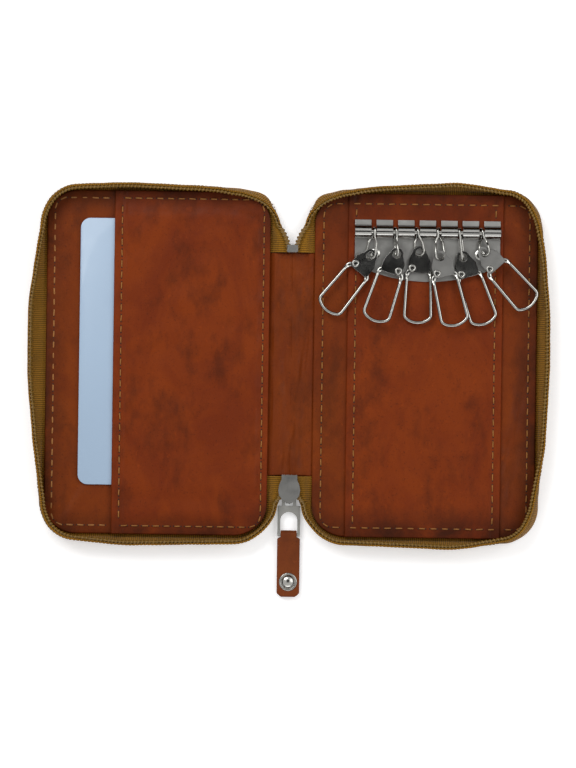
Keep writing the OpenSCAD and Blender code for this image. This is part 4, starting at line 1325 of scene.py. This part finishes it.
def domed_rivet():
    """The tab's rivet: a flat ring with a rounded rim, a groove and a dome on top, and a low cap below."""
    centre = (RIVET_LOW + RIVET_HIGH) / 2
    rim = (RIVET_HIGH[0] - RIVET_LOW[0]) / 2
    middle = joint("tab_swing")[2]
    base = middle + TAB_LEATHER
    foot, post, dome = rim * 0.8, rim * 0.3, rim * 0.76
    round_r, flange, play = 0.2 * MM, 0.32 * MM, 0.01 * MM
    seat = base + flange * 0.72
    high = RIVET_HIGH[2] - seat
    a = np.linspace(0, np.pi / 2, 9)
    top = np.linspace(0.05, np.pi / 2 - 0.01, 22)
    profile = [(ON_AXIS, RIVET_LOW[2])]
    profile += [(foot - round_r * (1 - math.sin(t)), RIVET_LOW[2] + round_r * (1 - math.cos(t))) for t in a]
    profile += [(foot, middle - TAB_LEATHER), (post, middle - TAB_LEATHER + play)]
    profile += [(post, base - play), (rim, base)]
    profile += [(rim - flange * (1 - math.cos(t)), base + flange * math.sin(t)) for t in a]
    profile += [(dome + 0.12 * MM, base + flange), (dome, seat)]
    profile += [(dome * math.cos(t), seat + high * math.sin(t)) for t in top]
    return revolved("pull_rivet_dome", profile, centre, 64)


def soft_card():
    """The card: a thin plate with round corners and a slightly softened edge."""
    low, high = CARD_LOW, CARD_HIGH
    r = 3.2 * MM
    left, right, down, up = low[0] + r, high[0] - r, low[1] + r, high[1] - r
    corners = enumerate([(right, up), (left, up), (left, down), (right, down)])
    outline = np.concatenate([arc(corner, r, 90 * k, 90 * k + 90, 14) for k, corner in corners])
    centre = (low[:2] + high[:2]) / 2
    inward = unit(centre - outline)
    soft, near_top = 0.08 * MM, 0.024 * MM
    edge = [(soft, low[2]), (0, low[2] + soft), (0, high[2] - soft)]
    edge += [(near_top, high[2] - near_top), (soft, high[2])]
    rings = [np.insert(outline + inward * step, 2, z, axis=1) for step, z in edge]
    return ringed("card_blank", np.array(rings), smooth=False)


# Operators, one for each piece or group of like pieces


def bent_at_fold(piece):
    """Bakes the piece's placement into its mesh."""
    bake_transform(piece)


class KEYCASE_OT_leather(bpy.types.Operator):
    """Build the outer leather: two halves, one on each side of the spine's middle"""

    bl_idname = "keycase.leather"
    bl_label = "Outer Leather"

    def execute(self, context):
        for name, side in SIDES.items():
            piece = outer_leather(name + "_outer", side)
            look = MATERIALS["outer"]
            finished(piece, None, "outer_leather", look, name + "_cover_leather", "spine_leather")
            bent_at_fold(piece)
        return {"FINISHED"}


class KEYCASE_OT_lining(bpy.types.Operator):
    """Build the linings of both covers and of the spine"""

    bl_idname = "keycase.lining"
    bl_label = "Linings"

    def execute(self, context):
        for name, side in SIDES.items():
            look = MATERIALS["lining"]
            inside = lining(name + "_inside", side)
            finished(inside, name + "_cover", "lining_leather", look, name + "_lining")
            strip = spine_strip(name + "_spine_strip", side)
            finished(strip, None, "lining_leather", look, "spine_lining")
            bent_at_fold(strip)
        return {"FINISHED"}


class KEYCASE_OT_panels(bpy.types.Operator):
    """Build the card pocket and the key panel"""

    bl_idname = "keycase.panels"
    bl_label = "Pocket and Key Panel"

    def execute(self, context):
        look = MATERIALS["panel"]
        finished(pocket_sheet("pocket_panel"), "left_cover", "panel_leather", look, "card_pocket")
        finished(key_panel_sheet("key_panel_sheet"), "right_cover", "panel_leather", look, "key_panel")
        return {"FINISHED"}


class KEYCASE_OT_stitches(bpy.types.Operator):
    """Sew the visible seams of both covers"""

    bl_idname = "keycase.stitches"
    bl_label = "Stitches"

    def execute(self, context):
        for name, runs in (("left", left_seams()), ("right", right_seams())):
            body = name + "_cover"
            finished(stitches(name + "_stitches", runs), body, "zip_tape", MATERIALS["thread"])
            finished(needle_hole_shades(name + "_needle_hole_shades", runs), body, "lining_leather", MATERIALS["hole"])
        return {"FINISHED"}


class KEYCASE_OT_zip(bpy.types.Operator):
    """Build both zip tapes with their coils, sewing and top stop"""

    bl_idname = "keycase.zip"
    bl_label = "Zip"

    def execute(self, context):
        for name in SIDES:
            parts = (
                (zip_tape, "zip_tape", "tape", (name + "_zip_tape", "zip_tape_ends")),
                (zip_coil, "zip_coil", "coil", (name + "_zip_coil", "zip_coil_ends")),
                (tape_threads, "zip_coil", "coil", ()),
            )
            for build, slot, look, nodes in parts:
                piece = finished(build(name), None, slot, MATERIALS[look], *nodes)
                bent_at_fold(piece)
        dressed_copy("zip_stop", "spine", "nickel", MATERIALS["worn"])
        return {"FINISHED"}


class KEYCASE_OT_slider(bpy.types.Operator):
    """Build the zip's slider, its bail, the leather pull tab and the tab's rivet"""

    bl_idname = "keycase.slider"
    bl_label = "Slider and Pull"

    def execute(self, context):
        dressed_copy("zip_slider", "slider", "nickel", MATERIALS["worn"], 0.24 * MM)
        dressed_copy("pull_bail", "bail", "chrome", MATERIALS["satin"], 0.2 * MM)
        finished(pull_tab(), "tab", "tab_leather", MATERIALS["tab"], "pull_tab")
        finished(domed_rivet(), "tab", "chrome", MATERIALS["chrome"], "pull_rivet")
        return {"FINISHED"}


class KEYCASE_OT_key_bar(bpy.types.Operator):
    """Dress the key bar, its rod and its rivets"""

    bl_idname = "keycase.key_bar"
    bl_label = "Key Bar"

    def execute(self, context):
        dressed_copy("key_bar", "right_cover", "nickel", MATERIALS["bar"], 0.1 * MM)
        dressed_copy("key_bar_rod", "right_cover", "chrome", MATERIALS["chrome"])
        dressed_copy("key_bar_rivets", "right_cover", "chrome", MATERIALS["chrome"])
        return {"FINISHED"}


class KEYCASE_OT_hooks(bpy.types.Operator):
    """Build the six snap hooks: link, plate, rivet and wire loop"""

    bl_idname = "keycase.hooks"
    bl_label = "Hooks"

    def execute(self, context):
        chrome = MATERIALS["chrome"]
        for n in HOOKS:
            plate = MATERIALS["worn" if n in DULL_PLATES else "nickel"]
            finished(link_wire(n), f"link_{n}", "chrome", chrome, f"hook_link_{n}")
            dressed_copy(f"hook_plate_{n}", f"hook_{n}", "nickel", plate)
            finished(eyelet(n), f"hook_{n}", "chrome", chrome, f"hook_rivet_{n}")
            finished(loop_wire(n), f"loop_{n}", "chrome", chrome, f"hook_loop_{n}")
        return {"FINISHED"}


class KEYCASE_OT_card(bpy.types.Operator):
    """Build the blank card in the pocket, and give the hidden boards their finish"""

    bl_idname = "keycase.card"
    bl_label = "Card and Boards"

    def execute(self, context):
        finished(soft_card(), "card", "card", MATERIALS["card"], "card")
        for name in SIDES:
            node = frame["nodes"][name + "_board"]
            node.data.materials.clear()
            node.data.materials.append(MATERIALS["board"])
        return {"FINISHED"}


# Stage


def flat_sheet(name, corners):
    """A flat face with four corners."""
    mesh = bpy.data.meshes.new(name)
    mesh.from_pydata(corners, [], [(0, 1, 2, 3)])
    return placed(name, mesh)


def softbox(name, place, size, power):
    """A large flat lamp that looks at the middle of the case."""
    data = bpy.data.lights.new(name, "AREA")
    data.shape = "RECTANGLE"
    data.size, data.size_y = size
    data.energy = power
    lamp = placed(name, data)
    lamp.location = place
    lamp.rotation_euler = (-Vector(place)).to_track_quat("-Z", "Y").to_euler()
    return lamp


def dark_card(name, corners):
    """A black card of the studio, which only shows as a dark reflection in the metal."""
    card = flat_sheet(name, corners)
    card.data.materials.append(Surface(name + "_black", (0.06, 0.06, 0.06), 0.9).material)
    card.visible_camera = card.visible_diffuse = card.visible_shadow = False
    return card


def dark_cards():
    """Black cards over the camera and round the case: one overhead, and a band on each of the four sides."""
    x, y, far, low, high, top = 0.8, 0.7, 0.75, 0.05, 0.45, 1.1
    wide, back, front = 0.24, 0.34, -0.2
    over = [(-wide, front, top), (wide, front, top), (wide, back, top), (-wide, back, top)]
    cards = [dark_card("card_over_camera", over)]
    ends = {
        "card_behind": ((-x, far), (x, far)),
        "card_in_front": ((-x, -far), (x, -far)),
        "card_at_left": ((-x, -y), (-x, y)),
        "card_at_right": ((x, -y), (x, y)),
    }
    for name, (start, end) in ends.items():
        cards.append(dark_card(name, [(*start, low), (*end, low), (*end, high), (*start, high)]))
    return cards


def paper_floor():
    """White paper under the case, which keeps the shadow and looks white to the camera."""
    half = 0.9
    floor = flat_sheet("floor", [(-half, -half, 0), (half, -half, 0), (half, half, 0), (-half, half, 0)])
    floor.location.z = cad_box[0][2] - 0.1 * MM
    paper = Surface("floor_paper", (0.985, 0.985, 0.985), 0.9)
    paper.shader.inputs["Specular IOR Level"].default_value = 0.1
    seen = paper.nodes.new("ShaderNodeLightPath").outputs["Is Camera Ray"]
    paper.shader.inputs["Emission Color"].default_value = (1, 1, 1, 1)
    paper.links.new(paper.span(seen, 0, 1, 0, 0.3), paper.shader.inputs["Emission Strength"])
    floor.data.materials.append(paper.material)
    return floor


def studio_world():
    """A soft white world, which shows as full white to the camera and in clear reflections."""
    world = bpy.data.worlds.new("studio")
    world.use_nodes = True
    nodes, links = world.node_tree.nodes, world.node_tree.links
    back = nodes["Background"]
    white = nodes.new("ShaderNodeBackground")
    for light, strength in ((back, 0.45), (white, 1.0)):
        light.inputs["Color"].default_value = (1, 1, 1, 1)
        light.inputs["Strength"].default_value = strength
    rays = nodes.new("ShaderNodeLightPath")
    seen = rays.outputs["Is Camera Ray"]
    for kind in ("Is Transmission Ray", "Is Glossy Ray"):
        either = nodes.new("ShaderNodeMath")
        either.operation = "MAXIMUM"
        links.new(seen, either.inputs[0])
        links.new(rays.outputs[kind], either.inputs[1])
        seen = either.outputs[0]
    mix = nodes.new("ShaderNodeMixShader")
    links.new(seen, mix.inputs[0])
    links.new(back.outputs[0], mix.inputs[1])
    links.new(white.outputs[0], mix.inputs[2])
    links.new(mix.outputs[0], nodes["World Output"].inputs["Surface"])
    return world


def photo_camera():
    """The photo's camera: one metre straight above the case, turned as the case lies in the photo."""
    data = bpy.data.cameras.new("camera")
    data.sensor_fit = "AUTO"
    data.sensor_width = 36
    data.lens = 145.87
    camera = placed("camera", data)
    camera.location = (-0.87 * MM, -6.31 * MM, 1.0 + 3 * MM)
    camera.rotation_euler = (0, 0, math.radians(0.8))
    return camera


class KEYCASE_OT_stage(bpy.types.Operator):
    """Set up the floor, the soft lights, the white background and the camera over the case"""

    bl_idname = "keycase.stage"
    bl_label = "Stage"

    def execute(self, context):
        floor = paper_floor()
        lamps = [
            softbox("key_light", (-0.32, 0.42, 0.62), (0.5, 0.35), 3.0),
            softbox("fill_light", (0.45, 0.12, 0.55), (0.45, 0.45), 1.3),
            softbox("low_light", (0.0, -0.6, 0.4), (0.6, 0.2), 0.8),
        ]
        cards = dark_cards()
        context.scene.world = studio_world()
        context.scene.camera = photo_camera()
        context.scene.view_settings.view_transform = "Standard"
        return {"FINISHED"}


class KEYCASE_OT_materials(bpy.types.Operator):
    """Make every material of the case from its colours"""

    bl_idname = "keycase.materials"
    bl_label = "Materials"

    def execute(self, context):
        MATERIALS.update(make_materials())
        return {"FINISHED"}


STEPS = [
    KEYCASE_OT_materials,
    KEYCASE_OT_leather,
    KEYCASE_OT_lining,
    KEYCASE_OT_panels,
    KEYCASE_OT_stitches,
    KEYCASE_OT_zip,
    KEYCASE_OT_slider,
    KEYCASE_OT_key_bar,
    KEYCASE_OT_hooks,
    KEYCASE_OT_card,
    KEYCASE_OT_stage,
]


class KEYCASE_PT_panel(bpy.types.Panel):
    """Sizes, colours and building steps of the key case"""

    bl_idname = "KEYCASE_PT_panel"
    bl_label = "Key Case"
    bl_space_type = "VIEW_3D"
    bl_region_type = "UI"
    bl_category = "Key Case"

    def draw(self, context):
        layout = self.layout
        for group in (context.scene.key_case_sizes, context.scene.key_case_colours):
            box = layout.box()
            for name in group.bl_rna.properties.keys():
                if name not in {"rna_type", "name"}:
                    box.prop(group, name)
        for step in STEPS:
            layout.operator(step.bl_idname)


CLASSES = [KeyCaseSizes, KeyCaseColours, *STEPS, KEYCASE_PT_panel]


def register():
    for cls in CLASSES:
        bpy.utils.register_class(cls)
    bpy.types.Scene.key_case_sizes = PointerProperty(type=KeyCaseSizes)
    bpy.types.Scene.key_case_colours = PointerProperty(type=KeyCaseColours)


def unregister():
    del bpy.types.Scene.key_case_colours
    del bpy.types.Scene.key_case_sizes
    for cls in reversed(CLASSES):
        bpy.utils.unregister_class(cls)


def main():
    register()
    bpy.ops.keycase.materials()
    bpy.ops.keycase.leather()
    bpy.ops.keycase.lining()
    bpy.ops.keycase.panels()
    bpy.ops.keycase.stitches()
    bpy.ops.keycase.zip()
    bpy.ops.keycase.slider()
    bpy.ops.keycase.key_bar()
    bpy.ops.keycase.hooks()
    bpy.ops.keycase.card()
    bpy.ops.keycase.stage()


if __name__ == "__main__":
    main()
